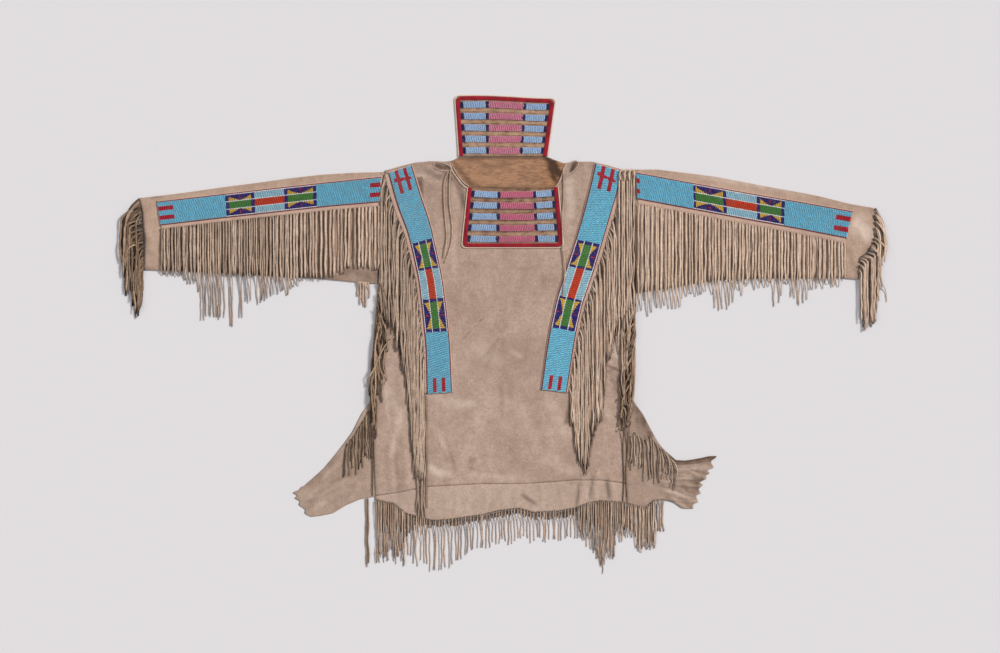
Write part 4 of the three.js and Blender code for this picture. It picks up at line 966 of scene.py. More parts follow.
def on_flap(corners, u, v, name):
    """x and y on a flap, for a share u across and v from the neck to the free end. The neck edge of the
    front flap dips 5 mm in the middle."""
    neck = corners[0] + (corners[1] - corners[0]) * u[..., None]
    free = corners[2] + (corners[3] - corners[2]) * u[..., None]
    at = neck + (free - neck) * v[..., None]
    if name == "neck_flap_front":
        at[..., 1] -= 5 * (1 - v) * np.sin(np.pi * np.clip(u, 0, 1))
    else:
        at[..., 1] += 2.2 * v * np.sin(np.pi * np.clip(u, 0, 1) * 1.5 + 0.3)
    return at[..., 0], at[..., 1]


for name, corners in neck_flaps.items():
    turned_up = name == "neck_flap_back"
    wide = corners[1, 0] - corners[0, 0]
    u, v = np.meshgrid(np.linspace(0, 1, 65), np.linspace(0, 1, 47), indexing="ij")
    x, y = on_flap(corners, u, v, name)

    def flap_height(x, y):
        """Upper side of the flap: on the surface, or on the front hide."""
        if turned_up:
            return np.full_like(x, HIDE + 0.1) + np.interp(y, [385, 395, 420], [1.0, 0.5, 0.0])
        return np.maximum(resting(x, y, hides, 2), front_height(x, np.minimum(y, 308))) + SEAM + HIDE

    z = flap_height(x, y) + creases(x, y, flap_waves)
    lay(x, y, z + 2.0, everything)
    below = (v * FLAP_LENGTH - FIRST_ROW) % ROW_PITCH  # how far below the top of a row of beads
    soil_and_shade = 0.04 + 0.2 * ease((0.12 - np.minimum(u, 1 - u)) / 0.12) + 0.16 * ease((0.1 - v) / 0.1)
    # Painted shade along the foot of each row of beads and just above the next; then a crossing pattern of
    # dark wrinkle lines.
    soil_and_shade = soil_and_shade + 0.55 * np.exp(-((below - 15.2) / 1.7) ** 2) + 0.4 * np.exp(-((below - 23.6) / 1.6) ** 2)
    soil_and_shade = soil_and_shade + 0.5 * np.clip(np.sin(u * 41 + 3 * np.sin(v * 17)) * np.sin(v * 60 + u * 9), 0, 1) ** 2
    soil_and_shade = soil_and_shade + (0.04 if turned_up else 0.46 - 0.4 * v) * (below > 13)
    rounding = 7.5 * ease((v - 0.93) / 0.07) * (1 - ease(np.minimum(u, 1 - u) / 0.04))
    y = y - rounding * (1 if turned_up else -1)
    x, y, z, soil_and_shade = facing_up(x, y, z, np.clip(soil_and_shade, 0, 1))
    flap = skin(f"{name}_hide", x, y, z, flap_finish, marks={"soil_and_shade": soil_and_shade})

    columns, deep = int(wide * 0.96 / 2.15), 7
    i, j, k = (a.ravel().astype(float) for a in np.meshgrid(np.arange(columns), np.arange(deep), np.arange(5),
                                                            indexing="ij"))
    down = FIRST_ROW + ROW_PITCH * k + ROW_HEIGHT * (j + 0.5) / deep + 0.5 * np.sin(i * 0.11 + k)
    v = down / FLAP_LENGTH
    inset = 8.6 / wide
    u = inset + (1 - 2 * inset) * (i + 0.5 + rng.normal(0, 0.06, len(i))) / columns
    x, y = on_flap(corners, u, v, name)
    x2, y2 = on_flap(corners, u, v + 0.01, name)
    z = flap_height(x, y) + creases(x, y, flap_waves) + 1.0 + 0.6 * (1 - ((j + 0.5) / deep * 2 - 1) ** 2)
    share = (u - inset) / (1 - 2 * inset)
    bar = 5.4 / (wide * (1 - 2 * inset))
    first, second = (0.30, 0.725) if turned_up else (0.335, 0.765)
    pick = np.where((share < first - bar / 2) | (share > second + bar / 2), 1, 2)
    for at in (bar / 2, first, second, 1 - bar / 2):
        pick = np.where(np.abs(share - at) < bar / 2 * 1.05, 0, pick)
    # The beads' tints rise and fall in a slanting rhythm: painted glints and painted shade.
    pull_and_glint = np.sin(2 * np.pi * (i / 2.1 + j * 0.1 + 0.2 * np.sin(i * 0.3)))
    tints = flap_colours[pick] * (1 + 0.42 * pull_and_glint + rng.normal(0, 0.1, len(pick)))[:, None]
    if not turned_up:  # the front flap is handled: its pink is deeper
        tints = np.where(pick[:, None] == 2, tints * [0.94, 0.76, 0.8], tints)
    tints = np.clip(tints, 0, 1)
    axis = np.column_stack([x2 - x, y2 - y, 0 * x])
    beads = bead_barrels(f"{name}_beads", np.column_stack([x, y, z]), axis, rng.normal(1.86, 0.06, len(x)),
                         rng.normal(2.1, 0.08, len(x)), tints, flap_beads)

    # The binding goes down one side, round the corners, along the free edge and up the other side.
    def bound(inset, lift):
        """A path a given distance inside three edges of the flap, with rounded corners."""
        du, dv = inset / wide, inset / FLAP_LENGTH
        turn = np.linspace(0, np.pi / 2, 9)
        r = 9.0
        left = np.linspace(0, 1 - dv - r / FLAP_LENGTH, 34)
        flat = np.linspace(du + r / wide, 1 - du - r / wide, 44)
        us = np.concatenate([du + 0 * left, du + r / wide * (1 - np.cos(turn[1:-1])), flat,
                             1 - du - r / wide * (1 - np.cos(turn[::-1][1:-1])), 1 - du + 0 * left])
        vs = np.concatenate([left, 1 - dv - r / FLAP_LENGTH * (1 - np.sin(turn[1:-1])), 1 - dv + 0 * flat,
                             1 - dv - r / FLAP_LENGTH * (1 - np.sin(turn[::-1][1:-1])), left[::-1]])
        x, y = on_flap(corners, us, vs, name)
        return np.column_stack([x, y, flap_height(x, y) + lift])

    points, faces = carried(bound(4.4, 0.75), rounded(8.6, 2.4, 10))
    binding = make_piece(f"{name}_binding", points, faces, wool)
    points, faces = carried(bound(-1.0, 0.1), rounded(2.4, 2.0, 6))
    welt = make_piece(f"{name}_welt", points, faces, selvage, {"soil_and_shade": np.full(len(points), 0.05)})
    for piece in (flap, beads, binding, welt):
        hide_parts(name)

# ---------------------------------------------------------------- fringe
# The fringe is hide cut into thongs that stay joined along an uncut heading. It hangs from the strips, the
# cuffs, the side seams, the leg flaps and the hem, two and three deep, and each thong has its own twist.
# The lower layers of thongs are darkened with painted shade: their darkening and their lower tones stand for
# the shade under the layers above.


def fringe_material(name, tone, dark, edge):
    """Cut thongs: a tone for each thong, darker cut edges and tips, and dry nap along them. The dark tones
    and the darker edges are partly painted shade between and under the thongs.
    """
    finish, tree, shader = bare_material(name, sheen=0.1)
    node = buckskin_on(tree, shader, 0.8, Cloud=dark, Dirt=edge, Cloudiness=0.35, Nap=0.6, Flecks=0.5)
    tree.links.new(mixed(tree, dye(*dark), dye(*tone), marked(tree, "tone")), node.inputs["Tone"])
    return finish


def ribbons(path, turn, w, h):
    """Flat oval outlines of six points carried along many paths at once, turned about them by an angle."""
    ahead = np.gradient(path, axis=1)
    ahead /= np.linalg.norm(ahead, axis=-1, keepdims=True)
    right = np.cross(ahead, [0, 0, 1.0])
    right /= np.linalg.norm(right, axis=-1, keepdims=True)
    above = np.cross(right, ahead)
    around = 2 * np.pi * np.arange(6) / 6
    a, b = np.cos(around) * w[..., None] / 2, np.sin(around) * h[..., None] / 2
    c, s = np.cos(turn)[..., None], np.sin(turn)[..., None]
    ring = (path[:, :, None] + right[:, :, None] * (a * c - b * s)[..., None]
            + above[:, :, None] * (a * s + b * c)[..., None])
    ring[..., 2] = np.maximum(ring[..., 2], 0.05)
    return ring, around


def thongs(x0, y0, column, end, seed, kept=hides, width=4.6, thick=1.9, rise=0.0, sway=1.8, settle=16.0,
           rings=24, twist=0.7, root=1.15, depth=1.0, tone=(0.3, 1.0), grime_and_shade=0.0, slit=0.1, slim=None):
    """Hanging thongs, all at once. Each leaves its root sideways, eases into its own column and falls to its
    end, with two slow waves that grow on the way down. It rests on what lies below, and its flat oval outline
    turns to and fro along it. Near the root it is broader, at the tip narrower, and thinner below the height
    where it hangs free. Its root is darkened with painted shade, where the cut between two thongs opens, and
    the darkening given to a whole layer is painted shade on the lower layers."""
    chance = np.random.default_rng(seed)
    x0, y0, column, end, rise, width = (np.broadcast_to(np.asarray(a, float), np.shape(x0))[:, None]
                                        for a in (x0, y0, column, end, rise, width))
    count = len(x0)

    def pick(low, high):
        return chance.uniform(low, high, (count, 1))

    t = np.linspace(0, 1, rings)[None, :] ** 1.15
    long = np.maximum(y0 - end, 8)
    down = long * t
    lean = 1 - (1 - np.clip(down / settle, 0, 1)) ** 2
    grow = (down / long) ** 0.8
    x = x0 + (column - x0) * lean + sway * grow * (
        pick(0.3, 1) * np.sin(2 * np.pi * (down / pick(70, 130) + pick(0, 1)))
        + pick(0.1, 0.45) * np.sin(2 * np.pi * (down / pick(28, 50) + pick(0, 1)))
        + pick(-0.6, 0.6))
    y = y0 - down
    turn = twist * (pick(0.2, 1) * np.sin(2 * np.pi * (down / pick(50, 120) + pick(0, 1))) + pick(-0.3, 0.3))
    turn = turn * ease(down / 18)
    w = width * pick(0.85, 1.12) * (1 + (root - 1) * (1 - ease(down / 8))) * (1 - 0.5 * ease((t - 0.9) / 0.1))
    w = w * (1 + 0.08 * np.sin(2 * np.pi * (down / pick(15, 30) + pick(0, 1))))
    if slim is not None:
        w = w * (1 - 0.45 * ease((np.asarray(slim)[:, None] - y) / 9))
    h = thick * pick(0.85, 1.15) + 0 * t
    half = np.hypot(w / 2 * np.sin(turn), h / 2 * np.cos(turn))
    floor = np.minimum(resting(x, y, kept, 1), 10.5)
    z = floor + half * 0.9 + 0.15 + rise * (0.35 + 0.65 * ease(down / 14)) + depth * pick(0, 1) * grow
    z = bridged(z, 5)
    ring, around = ribbons(np.stack([x, y, z], -1), turn, w, h)
    lay(x, y, z + half, everything)
    # Darker cut edges, partly painted shade between the thongs; painted shade on the underside; dirty tips;
    # painted shade at the root; and the layer's own darkening.
    soil_and_shade = 0.72 * np.abs(np.cos(around))[None, None] ** 3 + 0.4 * ease((t - 0.9) / 0.1)[..., None]
    soil_and_shade = soil_and_shade + 0.25 * (np.sin(around) < -0.1)[None, None] + slit * (1 - ease(down / 9))[..., None] + grime_and_shade
    shade = np.broadcast_to(pick(*tone)[..., None], ring.shape[:3])
    soil_and_shade = np.broadcast_to(soil_and_shade, ring.shape[:3])
    return dict(points=ring.reshape(-1, 3), faces=tube_faces(count, rings, 6),
                soil_and_shade=np.clip(soil_and_shade, 0, 1).ravel(), tone=shade.ravel())


def strap(route, width=3.6, thick=1.8, shade=0.8, grime_and_shade=0.0, lift=0.5):
    """One thong laid along a route of x and y over everything below it."""
    line = smoothed(route, 8 * len(route))
    x, y = line[None, :, 0], line[None, :, 1]
    z = bridged(np.minimum(resting(x, y, everything, 1), 11.0) + thick / 2 + lift, 20)
    taper = 1 - 0.4 * ease((np.linspace(0, 1, x.shape[1])[None] - 0.85) / 0.15)
    ring, around = ribbons(np.stack([x, y, z], -1), 0.3 * np.sin(line[None, :, 0] * 0.2), width * taper,
                           thick + 0 * x)
    lay(x, y, z + thick / 2, everything)
    soil_and_shade = np.broadcast_to(0.5 * np.abs(np.cos(around))[None, None] ** 3 + grime_and_shade, ring.shape[:3])
    return dict(points=ring.reshape(-1, 3), faces=tube_faces(1, x.shape[1], 6),
                soil_and_shade=np.clip(soil_and_shade, 0, 1).ravel(), tone=np.full(soil_and_shade.size, shade))


def join(name, parts, finish, *nodes):
    """Several sets of thongs as one piece, standing for its CAD nodes."""
    starts = np.cumsum([0] + [len(p["points"]) for p in parts])
    kinds = {}
    for part, start in zip(parts, starts):
        for f in part["faces"]:
            kinds.setdefault(f.shape[1], []).append(f + start)
    piece = make_piece(name, np.concatenate([p["points"] for p in parts]),
                       [np.concatenate(k) for k in kinds.values()], finish,
                       {m: np.concatenate([p[m] for p in parts]) for m in ("soil_and_shade", "tone")})
    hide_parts(*nodes)
    return piece


def heading(name, edges, first, last, node):
    """The uncut band that the fringe hangs from: a strip of hide from one share across to another, which
    changes evenly from one end to the other."""
    s, t = np.meshgrid(np.linspace(0, 1, 5), np.linspace(0.004, 0.996, 121), indexing="ij")
    far = np.interp(t, [0, 1], last)
    x, y = along_strip(edges, first + (far - first) * s, t)
    z = bridged(resting(x, y, hides, 2) + 0.1 + HIDE, 3)
    soil_and_shade = 0.35 * ease((s - 0.7) / 0.3) + 0.25 * ease((0.25 - s) / 0.25)
    x, y, z, soil_and_shade = facing_up(x, y, z, soil_and_shade)
    lay(x, y, z, everything)
    piece = skin(name, x, y, z, margin_finish, marks={"soil_and_shade": soil_and_shade})
    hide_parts(node)


fringe_finish = fringe_material("fringe_thongs", (240, 212, 188), (172, 142, 121), (46, 34, 27))
dark_fringe = fringe_material("old_fringe", (214, 182, 150), (116, 90, 72), (34, 25, 20))

# Sleeves: the thongs beneath stop near the sleeve's lower edge. Each one on top ends at the nearest of these.
sleeve_ends = {  # x, y of the tips
    "left": np.array([
        [-715, 130], [-708, 130], [-700, 128], [-689, 126], [-683, 121], [-674, 113], [-665, 109],
        [-657, 117], [-650, 94], [-643, 35], [-633, 44], [-625, 42], [-616, 40], [-610, 34], [-601, 39],
        [-592, 128], [-586, 18], [-580, 16], [-573, 128], [-567, 70], [-561, 38], [-551, 70], [-543, 76],
        [-534, 126], [-528, 68], [-521, 70], [-511, 74], [-504, 81], [-498, 85], [-491, 87], [-485, 113],
        [-478, 91], [-472, 96], [-463, 88], [-455, 100], [-448, 106], [-442, 109], [-429, 115],
        [-420, 119], [-401, 121], [-369, 126], [-347, 134], [-326, 145], [-300, 145], [-268, 141]]),
    "right": np.array([
        [289, 89], [300, 51], [309, 76], [318, 40], [326, 51], [334, 59], [345, 57], [356, 66], [364, 59],
        [373, 57], [379, 63], [388, 81], [397, 83], [405, 91], [414, 85], [422, 85], [429, 87], [438, 96],
        [446, 113], [453, 85], [461, 59], [472, 55], [481, 53], [489, 63], [498, 72], [508, 98], [519, 83],
        [528, 109], [539, 121], [549, 100], [560, 113], [571, 106], [579, 117], [586, 61], [594, 68],
        [603, 87], [614, 113], [622, 85], [631, 83], [640, 66], [648, 70], [657, 78], [665, 98],
        [674, 102], [683, 115], [691, 98], [700, 111], [708, 104], [717, 106], [723, 104], [732, 121]])}


def nearest(rows, at):
    """The second column of a table at the row whose first column is nearest to each place."""
    return rows[np.abs(at[:, None] - rows[None, :, 0]).argmin(1), 1]


for which, below in (("left", 4.8), ("right", 7.0)):
    edges = strips[f"sleeve_strip_{which}"]
    wide, _ = strip_size(edges)
    parts = []
    for layer, count in enumerate((66, 74 if which == "left" else 64)):
        chance = np.random.default_rng(20 + layer)
        t = (np.arange(count) + 0.2 + 0.5 * layer + chance.uniform(-0.25, 0.25, count)) / count
        if which == "left":
            t = np.interp(t, [0, 0.74, 1], [0, 0.64, 1])
        x, y = along_strip(edges, np.full(count, -below / wide), np.clip(t, 0.004, 0.992))
        lower = reading(sleeves[which]["edges"], x, 2)
        tips = nearest(sleeve_ends[which], x)
        if layer == 0:
            tips = np.maximum(tips, lower - chance.uniform(-8, 4, count))
        pitch = np.abs(np.gradient(x)) * chance.uniform(0.8, 1.2, count)
        # The layer beneath is darker than the one on top: painted shade under it. On the left sleeve both are
        # darker towards the cuff.
        grime_and_shade = (-0.05, -0.12)[layer]
        if which == "left":
            grime_and_shade = ((0.5, 0.12)[layer] - 0.3 * ease((x + 490) / 140))[:, None, None]
        parts.append(thongs(x, y, x + chance.normal(0, 0.9, count), tips + chance.uniform(-3, 3, count),
                            30 + layer, width=np.clip(pitch * (1.0, 0.74)[layer], 3.6, 5.4),
                            kept=(hides, everything)[layer], rise=0.1 * layer, sway=1.4, rings=22, depth=0.6,
                            grime_and_shade=grime_and_shade, slim=lower, slit=0.3,
                            tone=(0.1, 0.95) if which == "left" else (0.55, 1.0)))
    heading(f"sleeve_heading_{which}", edges, 4.4 / wide, [-(below + 1.6) / wide] * 2,
            f"sleeve_fringe_{which}")
    join(f"sleeve_thongs_{which}", parts, fringe_finish, f"sleeve_fringe_{which}")

# Shoulders: every thong falls straight down from its place on the slanting strip.
for which, side in (("left", -1), ("right", 1)):
    edges = strips[f"shoulder_strip_{which}"]
    wide, _ = strip_size(edges)
    parts = []
    for layer, count in enumerate((46, 38, 30)):
        chance = np.random.default_rng(50 + layer)
        t = (np.arange(count) + 0.2 + 0.3 * layer) / count * 0.985
        out = (6.4 - 4.6 * t) / wide
        x, y = along_strip(edges, -out if side < 0 else 1 + out, t)
        spread = (np.arange(count) * 0.618 + 0.3 * layer) % 1
        column = x + side * (0.5 + (15 - 4 * t) * spread)
        end = reading(shoulder_ends[which], column) + chance.uniform(-7, 9, count)
        if layer == 0:
            end = end + chance.uniform(0, 30, count)
        if side > 0:
            end = end + 70 * chance.uniform(0, 1, count) ** 3 * ease((-150 - end) / 60)
        # Lower layers get darker tones and more darkening: painted shade under the layers above.
        parts.append(thongs(x, y, column, np.minimum(end, y - 20), 60 + layer, width=(4.6, 4.2, 4.0)[layer],
                            rise=1.7 * layer, sway=2.2, rings=24, settle=28, slit=0.3,
                            grime_and_shade=(0.7, 0.26, -0.04)[layer] + (0.2 if side < 0 else 0.0),
                            tone=((0, 0.5), (0, 0.8), (0.3, 1.0))[layer]))
    if side < 0:
        x = np.array([-182.0, -178.5, -174, -170.5, -166, -162.5])
        end = np.array([-380.0, -424, -410, -428, -404, -372])
        parts.append(thongs(x, np.full(6, -130.0), x + [1, 0, 2, 0, 1, 1], end, 64, width=3.4, rise=1.5,
                            sway=2.0, rings=30, grime_and_shade=0.26, tone=(0, 0.7)))
        first, last = 3 / wide, (-7.8 / wide, -2.6 / wide)
    else:
        first, last = 1 - 3 / wide, (1 + 7.8 / wide, 1 + 2.6 / wide)
    heading(f"shoulder_heading_{which}", edges, first, last, f"shoulder_fringe_{which}")
    join(f"shoulder_thongs_{which}", parts, fringe_finish, f"shoulder_fringe_{which}")

# Cuffs: the cut edge of the sleeve's end, from its top corner down, and where the locks hang from it.
cuff_cut = {
    "left": np.array([[-779, 293], [-774, 270], [-771, 240], [-770, 205], [-769, 170], [-769, 142]]),
    "right": np.array([[802, 274], [803, 244], [800, 205], [788, 180], [777, 172], [770, 166], [768, 140]])}
cuff_locks = {  # share along the cut, column, its spread, end
    "left": np.array([
        [0, -812, 5, 150], [0.12, -808, 10, 140], [0.3, -799, 15, 122], [0.45, -795, 14, 98],
        [0.6, -791, 12, 76], [0.75, -787, 8, 60], [0.88, -782, 5, 46], [1, -775, 3, 78]]),
    "right": np.array([
        [0, 822, 4, 176], [0.25, 819, 6, 160], [0.4, 814, 5, 140], [0.48, 808, 2, 40], [0.62, 801, 3, 30],
        [0.75, 793, 4, 18], [0.88, 783, 4, 12], [1, 774, 3, 12]])}
for which, side, count, finish in (("left", -1, 22, dark_fringe), ("right", 1, 16, fringe_finish)):
    parts = []
    for layer in range(3):
        chance = np.random.default_rng(70 + layer)
        u = np.clip((np.arange(count) + 0.2 + 0.3 * layer + chance.uniform(-0.5, 0.5, count)) / count, 0, 1)
        cut = cuff_cut[which]
        x, y = (np.interp(u, np.linspace(0, 1, len(cut)), cut[:, k]) for k in (0, 1))
        locks = cuff_locks[which]
        column = reading(locks, u) + 1.3 * reading(locks, u, 2) * chance.uniform(-1, 1, count)
        end = np.minimum(reading(locks, u, 3) + chance.uniform(-10, 24, count), y - 16)
        settle = chance.uniform(10, 30, count) + 34 * (1 - ease(u / 0.3))
        if side > 0:
            settle = np.where(u > 0.45, chance.uniform(6, 14, count), settle)
        parts.append(thongs(x + side * 0.5, y, column, end, 74 + layer, width=(5.4, 4.8, 4.4)[layer],
                            rise=1.3 * layer, sway=2.8, rings=24, settle=settle[:, None], slit=0.6,
                            tone=(0.0, 1.0) if side < 0 else (0.4, 1.0),
                            grime_and_shade=((0.72, 0.3, 0.04) if side < 0 else (0.55, 0.02, -0.1))[layer],
                            kept=everything if layer == 2 else hides))
    if side > 0:
        parts.append(strap([[812, 130], [818, 112], [826, 96], [829, 72]], width=1.8, thick=1.2, shade=0.2))
    join(f"cuff_thongs_{which}", parts, finish, f"cuff_fringe_{which}")

# Sides: old thongs laced through the seams below the armholes, matted and curled.
side_straps = {  # route of x and y, width, tone, grime, lift
    "left": [([[-277, -196], [-278, -240], [-276.5, -290], [-277.5, -345]], 2.6, 0.1, 0.5, 0.5),
             ([[-268, 62], [-258, 44], [-248, 36], [-240, 25]], 3.2, 0.0, 0.6, 1.6),
             ([[-230, -2], [-250, -22], [-262, -44], [-272, -68], [-284, -90], [-293, -110]],
              3.2, 1.0, 0.0, 1.8),
             ([[-262, 20], [-270, -16], [-272, -60], [-270, -108], [-274, -150]], 3.6, 1.0, 0.0, 1.2),
             ([[-250, -30], [-254, -66], [-246, -92], [-252, -102]], 2.6, 0.7, 0.0, 0.6),
             ([[-258, -20], [-262, -64], [-250, -100], [-258, -112]], 2.6, 0.9, 0.0, 0.6)],
    "right": [([[262, -200], [261, -250], [263, -310], [260, -372]], 2.6, 0.1, 0.45, 0.5),
              ([[270, -196], [271, -250], [268, -300], [272, -368]], 2.8, 0.5, 0.2, 0.5),
              ([[275, -160], [274, -230], [278, -290]], 2.6, 0.3, 0.3, 0.5)]}
knots = [(256, -150), (266, -158), (276, -152), (262, -172), (272, -178), (254, -186)]  # x, y on the right
for which, side in (("left", -1), ("right", 1)):
    parts = []
    top, low, stop = (108, -142, -226) if side < 0 else (66, -128, -208)
    for layer, count in enumerate((18, 17, 14)):
        chance = np.random.default_rng(80 + layer)
        root = np.linspace(top, low, count) + chance.uniform(-6, 6, count)
        x = reading(front_sides, root, 1 if side < 0 else 2) + (4 if side < 0 else 0)
        near, far = ((-20, 6), (-9, 6)) if side < 0 else ((-27, 3), (-30, 1))
        reach = chance.uniform(0, 1, count)
        outward = ease((20 - root) / 110)
        column = x + side * ((near[0] + (near[1] - near[0]) * reach) * (1 - outward)
                             + (far[0] + (far[1] - far[0]) * reach) * outward)
        end = np.maximum(root - chance.uniform(48, 104, count), stop + chance.uniform(0, 22, count))
        parts.append(thongs(x, root, column, end, 82 + layer, width=(4.6, 4.0, 3.4)[layer], rise=1.4 * layer,
                            sway=4.8, settle=46, rings=24, twist=1.6, grime_and_shade=(0.6, 0.2, -0.1)[layer],
                            kept=everything if layer == 2 else hides, tone=(0.1, 1.0)))
    parts += [strap(route, width, shade=shade, grime_and_shade=grime_and_shade, lift=lift)
              for route, width, shade, grime_and_shade, lift in side_straps[which]]
    if side > 0:
        for k, (x, y) in enumerate(knots):
            turn = np.linspace(0, 2.6 + 0.3 * k, 6) + 2.1 * k
            loop = np.column_stack([x + (5 + 1.5 * (k % 3)) * np.cos(turn), y + 17 * np.sin(turn)])
            parts.append(strap(loop, width=3.4, shade=0.25 * (k % 4), grime_and_shade=0.12 * (k % 3), lift=0.8))
    join(f"side_thongs_{which}", parts, dark_fringe, f"side_fringe_{which}")

# Leg flaps: a thin row of thongs along their upper edges. Roots and tips: x, y, end.
flap_roots = {
    "left": np.array([
        [-285, -149, -263], [-291, -164, -272], [-298, -177, -278], [-304, -188, -289], [-311, -199, -293],
        [-319, -212, -298], [-326, -220, -300], [-334, -231, -306]], float),
    "right": np.array([
        [281, -214, -276], [289, -207, -298], [300, -216, -298], [311, -223, -324], [321, -214, -321],
        [330, -224, -315], [339, -235, -302], [347, -243, -311], [356, -251, -319],
        [365, -262, -324]], float)}
for which, side, counts in (("left", -1, (9, 10)), ("right", 1, (10, 12))):
    parts = []
    rows = flap_roots[which]
    for layer, count in enumerate(counts):
        chance = np.random.default_rng(90 + layer)
        at = np.linspace(0, 1, count) * (len(rows) - 1)
        x, y, end = (np.interp(at, np.arange(len(rows)), rows[:, k]) for k in (0, 1, 2))
        end = end + chance.uniform(-12, 16, count) + (1 - layer) * chance.uniform(0, 22, count)
        leans = chance.uniform(-4, 6, count) + (0 if side < 0 else 10 * (at / at.max()) ** 3)
        parts.append(thongs(x - side * 3.0, y - 1.5, x + leans, end, 92 + layer,
                            width=(3.4, 2.5)[layer], rise=1.1 * layer, sway=2.6, settle=30, rings=22,
                            grime_and_shade=(0.7, 0.1)[layer], slit=0.4))
    join(f"flap_thongs_{which}", parts, dark_fringe if side < 0 else fringe_finish, f"flap_fringe_{which}")

# Hem: a short dark layer cut from the back, then thin curled thongs cut from the band's own lower edge.
hem_ends = np.array([  # x, y of the tips
    [-270, -489], [-261, -489], [-248, -483], [-240, -487], [-227, -489], [-218, -478], [-207, -496],
    [-197, -474], [-190, -487], [-184, -498], [-175, -483], [-167, -489], [-154, -506], [-145, -508],
    [-137, -506], [-128, -506], [-117, -498], [-106, -493], [-96, -483], [-85, -478], [-76, -472],
    [-68, -465], [-57, -459], [-35, -457], [-25, -453], [-12, -446], [8, -442], [18, -450], [29, -440],
    [40, -435], [53, -433], [66, -446], [78, -435], [94, -442], [130, -442], [143, -435], [169, -435],
    [180, -442], [190, -457], [199, -472], [205, -483], [212, -500], [220, -510], [225, -465], [229, -478],
    [238, -485], [246, -450], [255, -442], [266, -435], [276, -431]])
parts = []
for layer, count in enumerate((124, 80, 44)):
    chance = np.random.default_rng(100 + layer)
    x = np.linspace(-269, 266, count) + chance.uniform(-1.3, 1.3, count)
    if layer == 2:
        x = np.concatenate([np.linspace(-268, -208, 18), np.linspace(164, 266, 26)])
    y = reading(hem_edge, x) + (-1.5, 3.0, 1.0)[layer]
    crowd = ease((-x - 175) / 40) + ease((x - 150) / 30)
    end = nearest(hem_ends, x) + chance.uniform(-4, 4, count)
    if layer == 0:
        short = y - 7 - 9 * chance.uniform(0, 1, count)
        end = np.maximum(end + 6, short - 54 * crowd * chance.uniform(0.3, 1, count))
    if layer == 2:
        end = end + chance.uniform(0, 30, count)
    parts.append(thongs(x, y, x + chance.normal(0, 0.8, count), end, 102 + layer,
                        width=(3.9, 2.15, 3.0)[layer], sway=(0.8, 1.9, 2.2)[layer], rings=(9, 20, 16)[layer],
                        grime_and_shade=(0.4, 0.0, 0.16)[layer], kept=hides if layer == 0 else everything, depth=0.4,
                        root=1.3, tone=(0.1, 1.0), settle=10, thick=1.4, slit=0.45))
join("hem_thongs", parts, fringe_finish, "hem_fringe")

right_ends = np.array([  # x, y of the tips: matted up to x 330, then three that stand apart
    [276, -431], [284, -435], [292, -460], [298, -470], [305, -452], [312, -458], [320, -457], [328, -457],
    [334, -425], [341, -420], [348, -423]])
right_roots = [np.linspace(273, 329, 17), np.append(np.linspace(275, 330, 15), [334.0, 341, 348])]
parts = []
for layer, x in enumerate(right_roots):
    chance = np.random.default_rng(110 + layer)
    count = len(x)
    end = nearest(right_ends, x) + chance.uniform(-5, 5, count) + 14 * (1 - layer)
    parts.append(thongs(x, reading(back_edge, x) + 1.0, x + chance.normal(0, 1.2, count), end, 111 + layer,
                        width=(3.9, 3.0)[layer], grime_and_shade=(0.4, 0.04)[layer], kept=(hides, everything)[layer],
                        sway=2.2, rings=18, depth=0.4, slit=0.4))
join("hem_thongs_right", parts, fringe_finish, "hem_fringe_right")
x = np.array([-291.5, -288])
part = thongs(x, reading(back_edge, x) - 1.0, x + [0, 0.6], np.array([-498.0, -490]), 112, width=3.2,
              sway=2.0, rings=18, rise=0.3)
join("hem_thongs_left", [part], dark_fringe, "hem_fringe_left")

# The long bunch that comes over the right shoulder in arches, and the short one at the left armpit.
x = np.array([253.0, 258.5, 264, 269, 274.5, 280, 285.5])
part = thongs(x, np.full(7, 346.0), x + [0, 1, -1, 1, 0, -1, -1],
              np.array([-40.0, -128, -150, -96, -34, 4, 36]), 113, kept=everything, width=4.3, sway=2.4,
              rings=44, rise=0.4, root=1.0, tone=(0.5, 1.0))
arches = [strap([[x - 3, 334], [x - 4, 348], [x + 1, 356], [x + 7, 352], [x + 8, 338]], width=4.2,
                shade=0.8, lift=1.2) for x in (258, 268, 278)]
join("shoulder_bunch", [part, *arches], fringe_finish, "shoulder_drop")
x = np.array([-308.0, -305, -302, -299, -296, -293, -290, -287])
part = thongs(x, reading(sleeves["left"]["edges"], x, 2) + 1, x + [-1, 1, -2, 2, 0, 1, -1, 1],
              np.array([84.0, 66, 76, 62, 70, 60, 72, 80]), 114, width=3.8, sway=2.6, rings=14, rise=0.4)
join("armpit_bunch", [part], fringe_finish, "armpit_fringe")

# ---------------------------------------------------------------- neck ties
# Three rolled thongs of hide are knotted at the corners of the neck and hang free down the front.

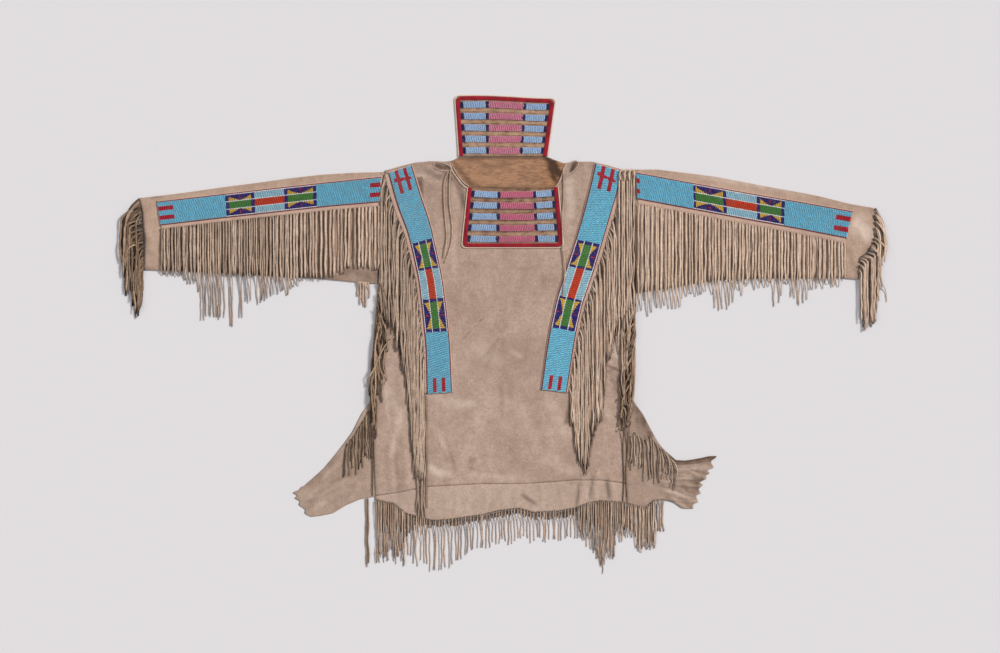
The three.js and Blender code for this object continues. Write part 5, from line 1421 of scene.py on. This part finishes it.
ties = {  # points in metres along the middle of each, from its knot to its free end
    "neck_tie_left_long": [
        [-0.108, 0.362, 0.00594], [-0.1105, 0.3448, 0.00634], [-0.1118, 0.3275, 0.00639],
        [-0.1123, 0.3101, 0.00644], [-0.1122, 0.2928, 0.0065], [-0.111, 0.2754, 0.0065],
        [-0.1087, 0.2582, 0.0065], [-0.1066, 0.241, 0.0065], [-0.106, 0.2236, 0.0065],
        [-0.1071, 0.2063, 0.0065], [-0.1102, 0.1892, 0.0065], [-0.1157, 0.1727, 0.0065],
        [-0.123, 0.157, 0.0065]],
    "neck_tie_left_short": [
        [-0.114, 0.352, 0.00614], [-0.1212, 0.3367, 0.00636], [-0.1238, 0.32, 0.00642],
        [-0.124, 0.3031, 0.00647], [-0.1236, 0.2861, 0.0065], [-0.1224, 0.2692, 0.0065],
        [-0.1212, 0.2523, 0.0065], [-0.1197, 0.2355, 0.0065], [-0.1182, 0.2186, 0.0065],
        [-0.1184, 0.2017, 0.0075], [-0.1205, 0.1849, 0.00947], [-0.122, 0.168, 0.00947]],
    "neck_tie_right": [
        [0.133, 0.356, 0.00587], [0.1336, 0.3378, 0.00624], [0.134, 0.3195, 0.00637],
        [0.1338, 0.3013, 0.00643], [0.1327, 0.2831, 0.0068], [0.1316, 0.2649, 0.0096],
        [0.1309, 0.2466, 0.0096], [0.1309, 0.2284, 0.0096], [0.1312, 0.2102, 0.0096],
        [0.1319, 0.1919, 0.0096], [0.1339, 0.1738, 0.0085], [0.1363, 0.1557, 0.00956],
        [0.1368, 0.1375, 0.00973], [0.135, 0.1194, 0.00987], [0.1333, 0.1012, 0.00998],
        [0.132, 0.083, 0.00998]]}


tie_finish = hide_material("tie_hide", (212, 184, 162), (164, 136, 114), dirt_and_shade=(60, 44, 34), cloudiness=0.9,
                           nap=0.8, flecks=0.8)
for name, route in ties.items():
    path = smoothed(np.array(route) / MM, 90)
    points, faces = carried(path, rounded(3.0, 3.0, 10))
    grime_and_shade = np.maximum(0.12 * np.sin(np.arange(len(points)) * 0.031), 0)
    tie = make_piece(name + "_thong", points, faces, tie_finish, {"soil_and_shade": grime_and_shade})
    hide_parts(name)
    length = np.linalg.norm(np.diff(path, axis=0), axis=1).sum() * MM

# ---------------------------------------------------------------- floor, light and camera
# A plain pale floor under soft studio light that comes mostly from the right and above the collar.

bpy.ops.mesh.primitive_plane_add(size=12, location=(0, 0, -0.0006))
floor = bpy.context.object
floor.name = "floor"
floor_finish, tree, shader = bare_material("pale_floor", 0.95)
shader.inputs["Base Color"].default_value = (0.748, 0.722, 0.730, 1)
floor.data.materials.append(floor_finish)


def broad_light(name, spot, strength, spread, tint):
    """Even light from one side, as from a large soft box far off, with soft shadows."""
    lamp = bpy.data.lights.new(name, "SUN")
    lamp.energy, lamp.angle, lamp.color = strength, spread, tint
    holder = bpy.data.objects.new(name, lamp)
    holder.rotation_euler = (-Vector(spot)).to_track_quat("-Z", "Y").to_euler()
    holder.location = spot
    bpy.context.scene.collection.objects.link(holder)


broad_light("key", (2.3, 1.3, 2.3), 2.75, 0.22, (1.0, 0.985, 0.965))
broad_light("fill", (-2.4, 0.6, 3.4), 0.45, 0.8, (0.97, 0.985, 1.0))
world = bpy.data.worlds.new("studio")
world.use_nodes = True
world.node_tree.nodes["Background"].inputs["Color"].default_value = (0.93, 0.95, 1.0, 1)
world.node_tree.nodes["Background"].inputs["Strength"].default_value = 0.34
bpy.context.scene.world = world
bpy.context.scene.view_settings.view_transform = "Standard"

lens = bpy.data.cameras.new("camera")
lens.lens, lens.sensor_width = 85, 36
lens.clip_end = 50
camera = bpy.data.objects.new("camera", lens)
camera.location = (-0.0032, 0.0194, 5.082)
bpy.context.scene.collection.objects.link(camera)
bpy.context.scene.camera = camera
